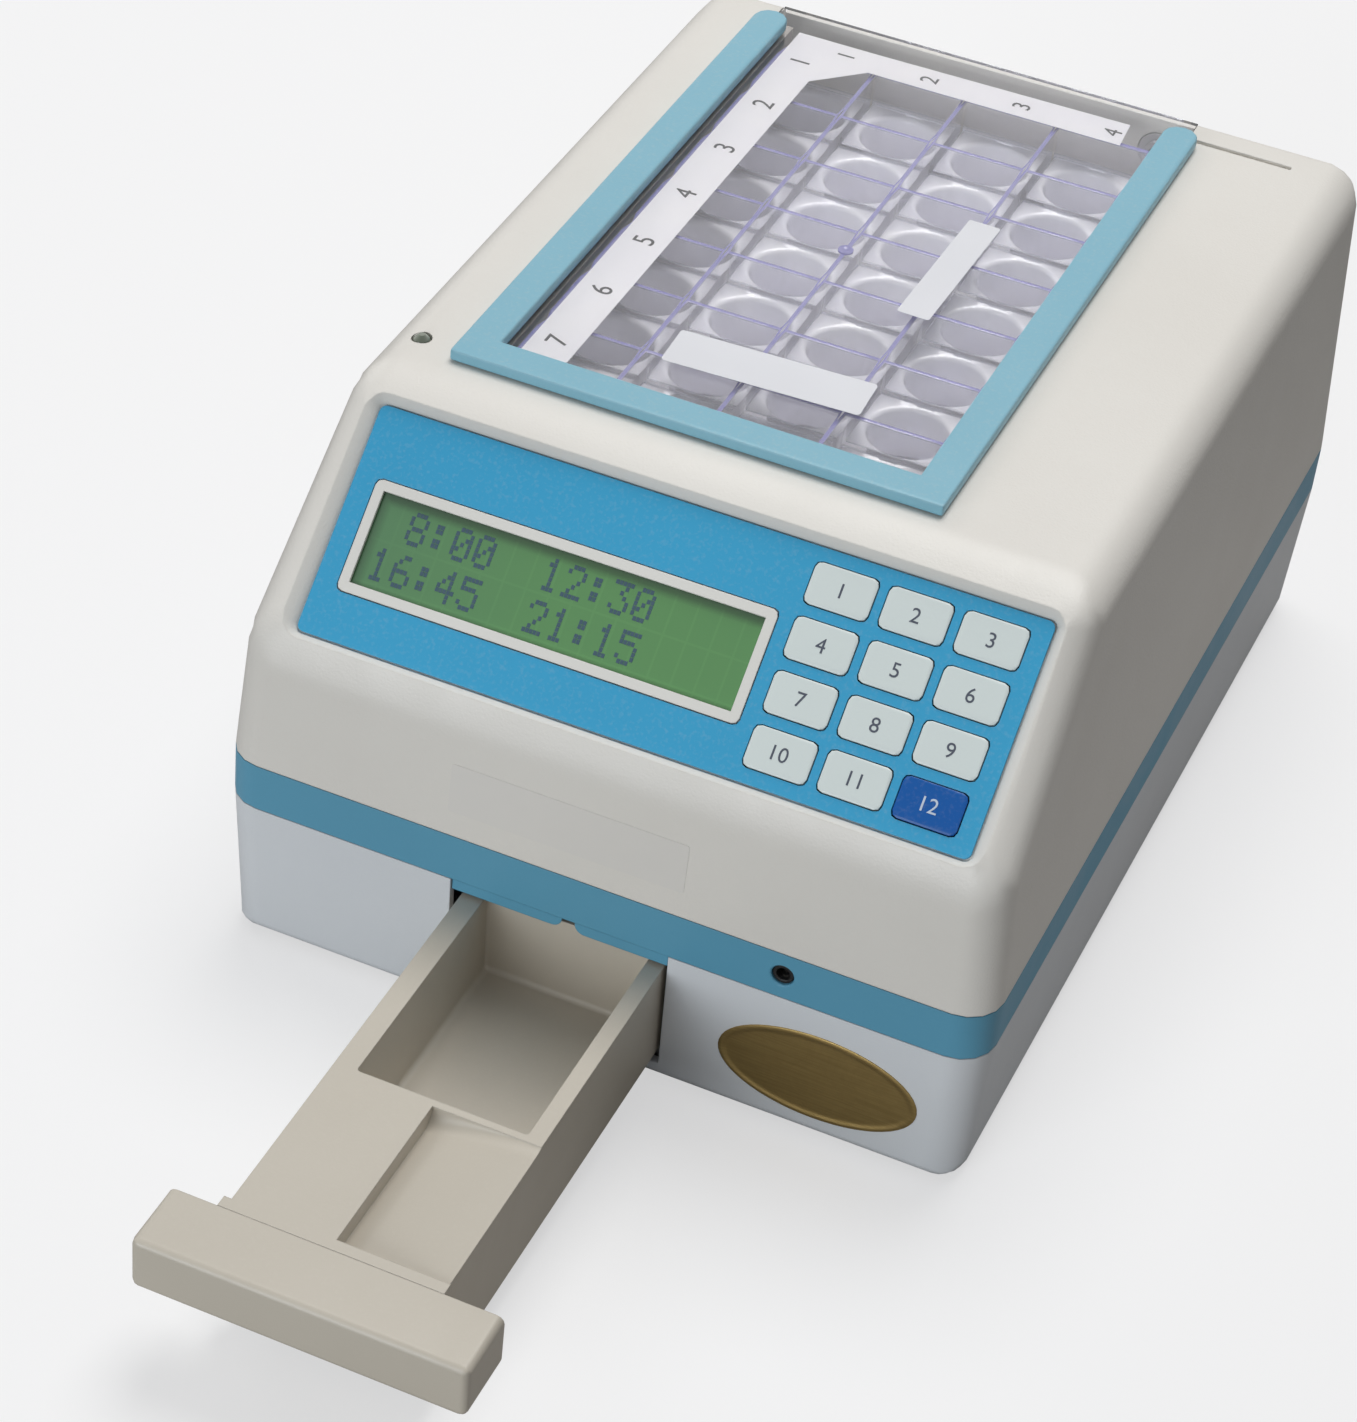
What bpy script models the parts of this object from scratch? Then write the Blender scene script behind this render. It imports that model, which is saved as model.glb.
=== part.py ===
"""Automatic pill dispenser: locked desk-top housing, 28-cell tray, shutter sheet, chute and drawer.

Lengths are in metres. +Z is up and the console and drawer face -Y. At rest the drawer stands
open and everything else is closed. The origin lies on the table, in the middle of the whole
outline with the drawer out, so the housing itself stands behind it.
"""

import math

import bmesh
import bpy

# Shared fits
GAP = 0.0003
OVERRUN = 0.004
ROUND_STEPS = 4
CIRCLE_STEPS = 24
SMALL_CIRCLE_STEPS = 16

# Housing outline
BODY_HEIGHT = 0.162
BASE_TOP = 0.0493
BAND_HEIGHT = 0.0153
SLOPE_ANGLE = math.radians(43.03)
BAY_LEFT_SPACE = 0.0368
BAY_RIGHT_SPACE = 0.0638
BAY_FRONT_SPACE = 0.08155
BAY_REAR_SPACE = 0.0266
BASE_INSET = 0.002
TOP_INSET = 0.006
WALL = 0.0025
EDGE_RADIUS = 0.011
REAR_EDGE_RADIUS = 0.004
BASE_EDGE_RADIUS = 0.004

# Feet
FOOT_HEIGHT = 0.002
FOOT_RADIUS = 0.007
FOOT_EDGE_DISTANCE = 0.022

# Console in the sloped face, along the slope (up) and across (right)
RECESS_DEPTH = 0.0042
CONSOLE_FLOOR = 0.0023
PANEL_SIDE_MARGIN = 0.0165
PANEL_OFFSET = 0.0007
PANEL_START = 0.006
PANEL_END_MARGIN = 0.00796
PANEL_RADIUS = 0.002
PANEL_THICKNESS = 0.0008
RECESS_SIDE_FLARE = 0.0042
RECESS_END_FLARE = 0.0038
RECESS_RADIUS = 0.007

# Display
LCD_SIDE_MARGIN = 0.0067
LCD_KEY_SPACE = 0.0048
LCD_BORDER_HEIGHT = 0.0324
LCD_START = 0.0200
LCD_FRAME = 0.0029
LCD_FRAME_THICKNESS = 0.0010
LCD_SET_BACK = 0.0009
LCD_GLASS_THICKNESS = 0.0014
LCD_BOARD_SIDE_MARGIN = 0.00265
LCD_BOARD_END_MARGIN = 0.0058
LCD_BOARD_THICKNESS = 0.0016
LCD_BACK_DEPTH = 0.0045

# Keys
KEY_COLUMNS = 3
KEY_ROWS = 4
KEY_WIDTH = 0.0180
KEY_HEIGHT = 0.0117
KEY_SPACE_X = 0.0031
KEY_SPACE_V = 0.00366
KEY_SIDE_MARGIN = 0.0056
KEY_BOTTOM_MARGIN = 0.00445
KEY_TOP_MARGIN = 0.00397
KEY_RADIUS = 0.0018
KEY_RISE = 0.0005
KEY_SKIRT = 0.0013
KEY_STROKE = 0.0006
KEY_BOARD_MARGIN = 0.0050
KEY_BOARD_THICKNESS = 0.0016
SWITCH_RADIUS = 0.0022

# Lamp and jack
LAMP_SIDE_MARGIN = 0.0170
LAMP_FRONT_SPACE = 0.0815
LAMP_RADIUS = 0.0027
LAMP_FLANGE_RADIUS = 0.0036
LAMP_SEAT = 0.0012
LAMP_FLANGE_HEIGHT = 0.0014
LAMP_LENGTH = 0.0062
LAMP_RISE = 0.0011
JACK_SIDE_MARGIN = 0.0585
JACK_RECESS = 0.0008
JACK_CHAMFER = 0.0004
JACK_HOLE_RADIUS = 0.0033
JACK_BORE_RADIUS = 0.0018
JACK_LENGTH = 0.0140

# Medication bay and its clear window
WINDOW_SIDE_LAP = 0.00405
WINDOW_FRONT_LAP = 0.00355
WINDOW_REAR_MARGIN = 0.0075
WINDOW_THICKNESS = 0.0022
BEZEL_SIDE_LAP = 0.00425
BEZEL_FRONT_LAP = 0.0031
BEZEL_REAR_MARGIN = 0.0185
BEZEL_RAIL = 0.0108
BEZEL_HEIGHT = 0.0037
BEZEL_EDGE = 0.0009
GROOVE_LENGTH = 0.0330
GROOVE_WIDTH = 0.0018
GROOVE_DEPTH = 0.0012
GROOVE_REAR_MARGIN = 0.0183

# Tray
TRAY_COLUMNS = 4
TRAY_ROWS = 7
CELL_PITCH_X = 0.0300
CELL_PITCH_Y = 0.02935
CELL_WALL = 0.0012
TRAY_RIM = 0.0007
TRAY_HEIGHT = 0.0260
CELL_OUTLET_RADIUS = 0.0115
CELL_CORNER_RADIUS = 0.0015
CELL_STRAIGHT_SHARE = 0.52
CELL_BOWL_SHARES = ((0.0, 1.0), (0.35, 0.72), (0.7, 0.30), (1.0, 0.0))

# Shutter sheet and its roller
SHEET_THICKNESS = 0.0008
SHEET_STEP = 0.0040
SHEET_REAR_LAP = 0.0006
SHEET_SIDE_LAP = 0.0010
ROLLER_FRONT_SPACE = 0.00805
ROLLER_RADIUS = 0.0064
AXLE_RADIUS = 0.0025
WRAP_ANGLE = math.radians(270)
WRAP_STEPS = 18

# Bay frame that carries window, tray, sheet and roller
FRAME_WALL = 0.0025
FRAME_CLEARANCE = 0.0010
FRAME_LEDGE = 0.0043
FRAME_LEDGE_HEIGHT = 0.0022
FRAME_FLANGE = 0.0075
FRAME_HEIGHT = 0.0497
FRAME_FRONT_REACH = 0.0120
FRAME_REAR_MARGIN = 0.0165
FRAME_FOOT_MARGIN = 0.0220
FRAME_LUG_REACH = 0.0027
FRAME_LUG_BELOW = 0.0032
FRAME_LUG_ABOVE = 0.0050
FRAME_NOSE_DROP = 0.0192
FRAME_NOSE_DEPTH = 0.0160
FRAME_BAR_HEIGHT = 0.0080
BEARING_CLEARANCE = 0.0003

# Gears and motor
GEAR_MODULE = 0.0010
GEAR_TEETH = 24
PINION_TEETH = 10
GEAR_FACE = 0.0040
GEAR_STAND_OFF = 0.0012
GEAR_BACKLASH_SHARE = 0.80
TOOTH_TIP_SHARE = 0.50
TOOTH_ROOT_SHARE = 1.70
ADDENDUM_SHARE = 0.90
DEDENDUM_SHARE = 1.20
PINION_SHAFT_RADIUS = 0.0015
PINION_SHAFT_LENGTH = 0.0080
MOTOR_GAP = 0.0020
GEARBOX_LENGTH = 0.0110
GEARBOX_WIDTH = 0.0320
GEARBOX_HEIGHT = 0.0300
GEARBOX_SHIFT = 0.0040
MOTOR_RADIUS = 0.0110
MOTOR_LENGTH = 0.0260
POST_RADIUS = 0.0022
POST_INSET = 0.0035

# Chute between tray and drawer
CHUTE_WALL = 0.0016
CHUTE_LAP = 0.0025
CHUTE_FRONT_MARGIN = 0.00395
CHUTE_REAR_MARGIN = 0.0019
CHUTE_SIDE_MARGIN = 0.0030
OUTLET_START = 0.0695
OUTLET_LENGTH = 0.0580
OUTLET_WIDTH = 0.0440
OUTLET_DROP = 0.0060
CHUTE_COLLAR = 0.0040
CHUTE_COLLAR_HEIGHT = 0.0020

# Band and its deck
DECK_DROP = 0.0066
DECK_THICKNESS = 0.0025
LIP_DROP = 0.0040
LIP_SET_BACK = 0.0008
LIP_THICKNESS = 0.0013
LIP_NOTCH_WIDTH = 0.0039
LIP_NOTCH_SHIFT = 0.00265
LIP_NOTCH_RADIUS = 0.0030

# Rear door, hinge and lock
DOOR_AXIS_MARGIN = 0.0130
DOOR_AXIS_RISE = 0.0105
DOOR_THICKNESS = 0.0025
DOOR_OUTER_MARGIN = 0.0058
DOOR_SKIRT = 0.0077
DOOR_BARREL_RADIUS = 0.0026
DOOR_PIN_RADIUS = 0.0011
DOOR_BARREL_END_GAP = 0.0006
DOOR_WEB = 0.0022
LOCK_SIDE_MARGIN = 0.01015
LOCK_DROP = 0.0109
LOCK_RADIUS = 0.0060
LOCK_HEAD_RADIUS = 0.0075
LOCK_HEAD_THICKNESS = 0.0016
LOCK_NECK = 0.0020
KEYWAY_WIDTH = 0.0012
KEYWAY_HEIGHT = 0.0060
KEYWAY_DEPTH = 0.0020
CAM_LENGTH = 0.0160
CAM_WIDTH = 0.0080
CAM_THICKNESS = 0.0018

# Drawer
DRAWER_X = -0.0088
DRAWER_WIDTH = 0.0615
DRAWER_TOP_SPACE = 0.0053
DRAWER_BOTTOM = 0.0110
DRAWER_TRAVEL = 0.1360
DRAWER_LEFT_SPACE = 0.00305
DRAWER_RIGHT_SPACE = 0.00135
DRAWER_BOTTOM_SPACE = 0.0032
DRAWER_LEFT_WALL = 0.0065
DRAWER_RIGHT_WALL = 0.0050
DRAWER_FLOOR = 0.0022
WELL_LENGTH = 0.0800
WELL_FLOOR_RISE = 0.0070
WELL_DRAFT = 0.0012
WELL_RADIUS = 0.0010
WELL_FLOOR_RADIUS = 0.0016
WELL_FILLET_SHARES = ((1.0, 0.0), (0.5, 0.134), (0.134, 0.5), (0.0, 1.0))
FASCIA_THICKNESS = 0.0037
FASCIA_CLEARANCE = 0.0009
DECK_LENGTH = 0.0570
SCOOP_STEP = -0.0008
SCOOP_DEPTH = 0.0055
SCOOP_STRIP = 0.0024
SCOOP_EDGE_DEPTH = 0.0008
SCOOP_END_RADIUS = 0.0045
SCOOP_CURVE_SHARE = 1.4
SCOOP_STEPS = 6
TAIL_LENGTH = 0.0500
TAIL_WALL = 0.0030
WELL_BACK_WALL = 0.0026
HANDLE_WIDTH = 0.0946
HANDLE_DEPTH = 0.0208
HANDLE_HEIGHT = 0.0172
HANDLE_OFFSET = 0.0016
HANDLE_RADIUS = 0.0022
HANDLE_SEAM = 0.0001
RUNNER_WALL = 0.0024
RUNNER_CLEARANCE = 0.0004
RUNNER_LEDGE = 0.0040
RUNNER_HEIGHT = 0.0250
RUNNER_FRONT_CLEARANCE = 0.0040
RUNNER_LENGTH = 0.1900

# Electronics in the base
BOARD_DEPTH = 0.0900
BOARD_THICKNESS = 0.0016
BOARD_RUNNER_SPACE = 0.00425
BOARD_SIDE_MARGIN = 0.0095
BOARD_REAR_MARGIN = 0.0365
BOSS_HEIGHT = 0.0070
BOSS_RADIUS = 0.0030
BOSS_INSET = 0.0050
BUZZER_RADIUS = 0.0065
BUZZER_HEIGHT = 0.0075
BUZZER_INSET = 0.0190
BUZZER_HOLE_RADIUS = 0.0012
BATTERY_LENGTH = 0.1240
BATTERY_HEIGHT = 0.0290
BATTERY_RUNNER_SPACE = 0.00665
BATTERY_SIDE_MARGIN = 0.0115
BATTERY_REAR_MARGIN = 0.0755
BATTERY_EDGE = 0.0030
INLET_SIDE_MARGIN = 0.0295
INLET_Z = 0.0270
INLET_RADIUS = 0.0052
INLET_BORE_RADIUS = 0.0030
INLET_PIN_RADIUS = 0.0010
INLET_LENGTH = 0.0120

# Worked out from the sizes above
BAND_TOP = BASE_TOP + BAND_HEIGHT
DECK_TOP = BAND_TOP - DECK_DROP
TRAY_WIDTH = TRAY_COLUMNS * CELL_PITCH_X + 2 * TRAY_RIM
TRAY_DEPTH = TRAY_ROWS * CELL_PITCH_Y + 2 * TRAY_RIM
BAY_WIDTH = TRAY_WIDTH + 2 * (FRAME_CLEARANCE + FRAME_WALL)
BAY_CENTRE_X = (BAY_LEFT_SPACE - BAY_RIGHT_SPACE) / 2
BODY_WIDTH = BAY_LEFT_SPACE + BAY_WIDTH + BAY_RIGHT_SPACE
BODY_DEPTH = BAY_FRONT_SPACE + TRAY_DEPTH + BAY_REAR_SPACE
HALF_WIDTH = BODY_WIDTH / 2
HALF_DEPTH = BODY_DEPTH / 2
KEY_PITCH_X = KEY_WIDTH + KEY_SPACE_X
KEY_PITCH_V = KEY_HEIGHT + KEY_SPACE_V
KEYPAD_WIDTH = (KEY_COLUMNS - 1) * KEY_PITCH_X + KEY_WIDTH
KEYPAD_HEIGHT = (KEY_ROWS - 1) * KEY_PITCH_V + KEY_HEIGHT
PANEL_WIDTH = BODY_WIDTH - 2 * PANEL_SIDE_MARGIN
PANEL_HEIGHT = KEY_BOTTOM_MARGIN + KEYPAD_HEIGHT + KEY_TOP_MARGIN
SLOPE_LENGTH = PANEL_START + PANEL_HEIGHT + PANEL_END_MARGIN
SLOPE_RUN = SLOPE_LENGTH * math.cos(SLOPE_ANGLE)
FRONT_WALL_TOP = BODY_HEIGHT - SLOPE_LENGTH * math.sin(SLOPE_ANGLE)
TOP_RATE = TOP_INSET / (BODY_HEIGHT - BAND_TOP)
FRONT_CREASE_Y = -HALF_DEPTH + TOP_RATE * (FRONT_WALL_TOP - BAND_TOP)
PANEL_TOP = -RECESS_DEPTH + GAP + PANEL_THICKNESS
PANEL_BOTTOM = -RECESS_DEPTH + GAP
CONSOLE_BACK = -RECESS_DEPTH - CONSOLE_FLOOR
KEY_RIGHT = PANEL_OFFSET + PANEL_WIDTH / 2 - KEY_SIDE_MARGIN
KEY_FIRST_X = KEY_RIGHT - KEYPAD_WIDTH + KEY_WIDTH / 2
KEY_FIRST_V = PANEL_START + KEY_BOTTOM_MARGIN + KEY_HEIGHT / 2
KEYPAD_X = KEY_FIRST_X + (KEY_COLUMNS - 1) * KEY_PITCH_X / 2
KEYPAD_V = KEY_FIRST_V + (KEY_ROWS - 1) * KEY_PITCH_V / 2
LCD_LEFT = PANEL_OFFSET - PANEL_WIDTH / 2 + LCD_SIDE_MARGIN
LCD_BORDER_WIDTH = KEY_RIGHT - KEYPAD_WIDTH - LCD_KEY_SPACE - LCD_LEFT
LCD_BOARD_WIDTH = LCD_BORDER_WIDTH + 2 * LCD_BOARD_SIDE_MARGIN
LCD_BOARD_HEIGHT = LCD_BORDER_HEIGHT + 2 * LCD_BOARD_END_MARGIN
LCD_X = LCD_LEFT + LCD_BORDER_WIDTH / 2
LCD_V = LCD_START + LCD_BORDER_HEIGHT / 2
LAMP_X = -HALF_WIDTH + LAMP_SIDE_MARGIN
LAMP_Y = -HALF_DEPTH + LAMP_FRONT_SPACE
JACK_X = HALF_WIDTH - JACK_SIDE_MARGIN
JACK_Z = (BASE_TOP + BAND_TOP) / 2
TRAY_REAR = HALF_DEPTH - BAY_REAR_SPACE
TRAY_FRONT = TRAY_REAR - TRAY_DEPTH
TRAY_LEFT = BAY_CENTRE_X - TRAY_WIDTH / 2
TRAY_RIGHT = BAY_CENTRE_X + TRAY_WIDTH / 2
WINDOW_WIDTH = BAY_WIDTH + 2 * WINDOW_SIDE_LAP
WINDOW_FRONT = TRAY_FRONT - WINDOW_FRONT_LAP
WINDOW_REAR = HALF_DEPTH - WINDOW_REAR_MARGIN
WINDOW_TOP = BODY_HEIGHT - GAP
WINDOW_BOTTOM = WINDOW_TOP - WINDOW_THICKNESS
BEZEL_WIDTH = WINDOW_WIDTH + 2 * BEZEL_SIDE_LAP
BEZEL_FRONT = WINDOW_FRONT - BEZEL_FRONT_LAP
BEZEL_REAR = HALF_DEPTH - BEZEL_REAR_MARGIN
GROOVE_Y = HALF_DEPTH - GROOVE_REAR_MARGIN
FRAME_TOP = min(WINDOW_BOTTOM, BODY_HEIGHT - WALL) - GAP
TRAY_TOP = FRAME_TOP - 4 * GAP
TRAY_BOTTOM = TRAY_TOP - TRAY_HEIGHT
SHEET_TOP = TRAY_BOTTOM - GAP
SHEET_BOTTOM = SHEET_TOP - SHEET_THICKNESS
SHEET_REAR = TRAY_REAR + SHEET_REAR_LAP
LEDGE_TOP = SHEET_BOTTOM - GAP
WRAP_RADIUS = ROLLER_RADIUS + GAP + SHEET_THICKNESS
ROLLER_Y = TRAY_FRONT - ROLLER_FRONT_SPACE
ROLLER_Z = SHEET_TOP - WRAP_RADIUS
FRAME_BOTTOM = FRAME_TOP - FRAME_HEIGHT
FRAME_FRONT = ROLLER_Y - FRAME_FRONT_REACH
FRAME_REAR = HALF_DEPTH - FRAME_REAR_MARGIN
FRAME_FOOT_REAR = HALF_DEPTH - FRAME_FOOT_MARGIN
FRAME_NOSE_TOP = FRAME_TOP - FRAME_NOSE_DROP
FRAME_NOSE_BACK = FRAME_FRONT + FRAME_NOSE_DEPTH
PLATE_LEFT = TRAY_LEFT - FRAME_CLEARANCE
PLATE_RIGHT = TRAY_RIGHT + FRAME_CLEARANCE
GEAR_RADIUS = GEAR_MODULE * GEAR_TEETH / 2
PINION_RADIUS = GEAR_MODULE * PINION_TEETH / 2
GEAR_X = PLATE_RIGHT + FRAME_WALL + GEAR_STAND_OFF
PINION_Y = ROLLER_Y + GEAR_RADIUS + PINION_RADIUS
MOTOR_X = GEAR_X + GEAR_FACE + MOTOR_GAP
DOOR_AXIS_Y = HALF_DEPTH - DOOR_AXIS_MARGIN
DOOR_AXIS_Z = FRAME_BOTTOM + DOOR_AXIS_RISE
DOOR_OUTER_Y = HALF_DEPTH - DOOR_OUTER_MARGIN
DOOR_BOTTOM = DOOR_AXIS_Z - DOOR_SKIRT
DOOR_TOP = WINDOW_BOTTOM - 2 * GAP
DOOR_LEFT = BAY_CENTRE_X - WINDOW_WIDTH / 2 + 2 * GAP
DOOR_RIGHT = BAY_CENTRE_X + WINDOW_WIDTH / 2 - 2 * GAP
FRAME_LUG_REAR = DOOR_AXIS_Y + FRAME_LUG_REACH
FRAME_LUG_BOTTOM = DOOR_AXIS_Z - FRAME_LUG_BELOW
FRAME_LUG_TOP = DOOR_AXIS_Z + FRAME_LUG_ABOVE
LOCK_X = DOOR_RIGHT - LOCK_SIDE_MARGIN
LOCK_Z = DOOR_TOP - LOCK_DROP
CHUTE_TOP = FRAME_BOTTOM + CHUTE_LAP
CHUTE_FRONT = TRAY_FRONT + CHUTE_FRONT_MARGIN
CHUTE_REAR = TRAY_REAR - CHUTE_REAR_MARGIN
OUTLET_FRONT = -HALF_DEPTH + OUTLET_START
OUTLET_REAR = OUTLET_FRONT + OUTLET_LENGTH
DRAWER_TOP = BASE_TOP - DRAWER_TOP_SPACE
DRAWER_LEFT = DRAWER_X - DRAWER_WIDTH / 2
DRAWER_RIGHT = DRAWER_X + DRAWER_WIDTH / 2
DRAWER_OPENING_LEFT = DRAWER_LEFT - DRAWER_LEFT_SPACE
DRAWER_OPENING_RIGHT = DRAWER_RIGHT + DRAWER_RIGHT_SPACE
DRAWER_OPENING_BOTTOM = DRAWER_BOTTOM - DRAWER_BOTTOM_SPACE
DRAWER_FRONT_Y = -HALF_DEPTH - GAP - DRAWER_TRAVEL
HANDLE_Y = DRAWER_FRONT_Y + GAP - HANDLE_SEAM
DRAWER_REACH = -HANDLE_Y + HANDLE_DEPTH
BODY_SHIFT = (DRAWER_REACH - HALF_DEPTH) / 2
FASCIA_REAR = DRAWER_FRONT_Y + GAP + FASCIA_THICKNESS
WELL_FRONT = FASCIA_REAR + DECK_LENGTH
WELL_REAR = WELL_FRONT + WELL_LENGTH
WELL_FLOOR = DRAWER_BOTTOM + WELL_FLOOR_RISE
DRAWER_REAR = WELL_REAR + WELL_BACK_WALL + TAIL_LENGTH
FLOOR_TOP = FOOT_HEIGHT + WALL
RUNNER_LEFT = DRAWER_LEFT - RUNNER_CLEARANCE - RUNNER_WALL
RUNNER_RIGHT = DRAWER_RIGHT + RUNNER_CLEARANCE + RUNNER_WALL
BOARD_LEFT = RUNNER_RIGHT + BOARD_RUNNER_SPACE
BOARD_WIDTH = HALF_WIDTH - BOARD_SIDE_MARGIN - BOARD_LEFT
BOARD_X = BOARD_LEFT + BOARD_WIDTH / 2
BOARD_Y = HALF_DEPTH - BOARD_REAR_MARGIN - BOARD_DEPTH / 2
BUZZER_X = BOARD_LEFT + BUZZER_INSET
BUZZER_Y = BOARD_Y - BOARD_DEPTH / 2 + BUZZER_INSET
BATTERY_LEFT = -HALF_WIDTH + BATTERY_SIDE_MARGIN
BATTERY_WIDTH = RUNNER_LEFT - BATTERY_RUNNER_SPACE - BATTERY_LEFT
BATTERY_X = BATTERY_LEFT + BATTERY_WIDTH / 2
BATTERY_Y = HALF_DEPTH - BATTERY_REAR_MARGIN - BATTERY_LENGTH / 2
INLET_X = HALF_WIDTH - INLET_SIDE_MARGIN

COLOURS = {
    "cream": ((0.76, 0.72, 0.64, 1.0), 0.48, 0.0),
    "pale_grey": ((0.58, 0.61, 0.64, 1.0), 0.45, 0.0),
    "teal": ((0.09, 0.27, 0.38, 1.0), 0.42, 0.0),
    "teal_light": ((0.22, 0.42, 0.50, 1.0), 0.40, 0.0),
    "blue": ((0.05, 0.32, 0.55, 1.0), 0.38, 0.0),
    "deep_blue": ((0.02, 0.12, 0.40, 1.0), 0.38, 0.0),
    "key_grey": ((0.62, 0.60, 0.58, 1.0), 0.45, 0.0),
    "white": ((0.72, 0.71, 0.69, 1.0), 0.45, 0.0),
    "lcd_green": ((0.10, 0.26, 0.10, 1.0), 0.20, 0.0),
    "clear": ((0.80, 0.82, 0.90, 0.25), 0.06, 0.0),
    "beige": ((0.54, 0.48, 0.40, 1.0), 0.46, 0.0),
    "board": ((0.02, 0.16, 0.07, 1.0), 0.50, 0.0),
    "dark": ((0.02, 0.02, 0.025, 1.0), 0.50, 0.0),
    "steel": ((0.55, 0.55, 0.56, 1.0), 0.30, 1.0),
    "gear": ((0.70, 0.68, 0.60, 1.0), 0.45, 0.0),
    "film": ((0.42, 0.43, 0.46, 1.0), 0.35, 0.0),
    "lamp": ((0.16, 0.18, 0.12, 1.0), 0.12, 0.0),
    "rubber": ((0.03, 0.03, 0.03, 1.0), 0.80, 0.0),
}


def clear_scene():
    for obj in list(bpy.data.objects):
        bpy.data.objects.remove(obj, do_unlink=True)


def material(piece_name, colour_name):
    colour, roughness, metallic = COLOURS[colour_name]
    made = bpy.data.materials.new(piece_name + "_" + colour_name)
    made.use_nodes = True
    shader = made.node_tree.nodes["Principled BSDF"]
    shader.inputs["Base Color"].default_value = colour
    shader.inputs["Roughness"].default_value = roughness
    shader.inputs["Metallic"].default_value = metallic
    shader.inputs["Alpha"].default_value = colour[3]
    return made


def make_root():
    root = bpy.data.objects.new("dispenser", None)
    root.location = (0, BODY_SHIFT, 0)
    bpy.context.scene.collection.objects.link(root)
    return root


def make_console_frame(root):
    """Empty on the crease under the console: its X runs across, its Y up the slope, its Z outward."""
    frame = bpy.data.objects.new("console_frame", None)
    frame.location = (0, FRONT_CREASE_Y, FRONT_WALL_TOP)
    frame.rotation_euler = (SLOPE_ANGLE, 0, 0)
    frame.parent = root
    bpy.context.scene.collection.objects.link(frame)
    return frame


def finish_mesh(name, mesh):
    """Turns a bmesh into mesh data with its faces pointing out and its curved faces smooth."""
    bmesh.ops.recalc_face_normals(mesh, faces=mesh.faces)
    data = bpy.data.meshes.new(name)
    mesh.to_mesh(data)
    mesh.free()
    data.shade_smooth()
    data.set_sharp_from_angle(angle=math.radians(35))
    return data


def add_piece(name, mesh, parent, colour_name, at=(0, 0, 0)):
    obj = bpy.data.objects.new(name, finish_mesh(name, mesh))
    obj.location = at
    obj.parent = parent
    bpy.context.scene.collection.objects.link(obj)
    obj.data.materials.append(material(name, colour_name))
    return obj


def add_cutter(name, mesh, parent, at=(0, 0, 0)):
    obj = bpy.data.objects.new(name, finish_mesh(name, mesh))
    obj.location = at
    obj.parent = parent
    obj.hide_render = True
    obj.display_type = "WIRE"
    bpy.context.scene.collection.objects.link(obj)
    return obj


def cut(obj, cutter):
    modifier = obj.modifiers.new("cut " + cutter.name, "BOOLEAN")
    modifier.operation = "DIFFERENCE"
    modifier.solver = "EXACT"
    modifier.object = cutter


def join(obj, other):
    modifier = obj.modifiers.new("join " + other.name, "BOOLEAN")
    modifier.operation = "UNION"
    modifier.solver = "EXACT"
    modifier.object = other


def bevel(obj, width, segments):
    modifier = obj.modifiers.new("round", "BEVEL")
    modifier.width = width
    modifier.segments = segments
    modifier.limit_method = "ANGLE"
    modifier.angle_limit = math.radians(40)


def bevel_by_weight(obj, width, segments):
    modifier = obj.modifiers.new("round", "BEVEL")
    modifier.width = width
    modifier.segments = segments
    modifier.limit_method = "WEIGHT"


def loft(mesh, rings, closed=False):
    """Skins a row of rings that have as many points each, and caps the two ends."""
    rows = [[mesh.verts.new(point) for point in ring] for ring in rings]
    pairs = list(zip(rows, rows[1:]))
    if closed:
        pairs.append((rows[-1], rows[0]))
    for lower, upper in pairs:
        for i in range(len(lower)):
            j = (i + 1) % len(lower)
            mesh.faces.new((lower[i], lower[j], upper[j], upper[i]))
    if not closed:
        mesh.faces.new(rows[0])
        mesh.faces.new(rows[-1])
    return mesh


def prism(mesh, outline, low, high, axis):
    """Extrudes a flat outline along an axis: X takes (y, z), Y takes (x, z) and Z takes (x, y)."""
    place = {
        "X": lambda p, h: (h, p[0], p[1]),
        "Y": lambda p, h: (p[0], h, p[1]),
        "Z": lambda p, h: (p[0], p[1], h),
    }[axis]
    return loft(mesh, [[place(p, low) for p in outline], [place(p, high) for p in outline]])


def box(mesh, x, y, z):
    return prism(mesh, rectangle(x, y), z[0], z[1], "Z")


def rectangle(x, y):
    return [(x[0], y[0]), (x[1], y[0]), (x[1], y[1]), (x[0], y[1])]


def circle(centre, radius, steps=CIRCLE_STEPS, start=0.0):
    points = []
    for i in range(steps):
        angle = start + 2 * math.pi * i / steps
        points.append((centre[0] + radius * math.cos(angle), centre[1] + radius * math.sin(angle)))
    return points


def arc(centre, radius, first, last, steps):
    points = []
    for i in range(steps + 1):
        angle = first + (last - first) * i / steps
        points.append((centre[0] + radius * math.cos(angle), centre[1] + radius * math.sin(angle)))
    return points


def rounded_rectangle(x, y, radius, steps=ROUND_STEPS):
    """Rectangle between x and y limits with rounded corners, counter-clockwise from the right."""
    corners = (
        (x[1] - radius, y[1] - radius, 0),
        (x[0] + radius, y[1] - radius, 1),
        (x[0] + radius, y[0] + radius, 2),
        (x[1] - radius, y[0] + radius, 3),
    )
    points = []
    for centre_x, centre_y, quarter in corners:
        first = quarter * math.pi / 2
        points += arc((centre_x, centre_y), radius, first, first + math.pi / 2, steps)
    return points


def cylinder(mesh, centre, radius, low, high, axis, steps=CIRCLE_STEPS):
    return prism(mesh, circle(centre, radius, steps), low, high, axis)


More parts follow.
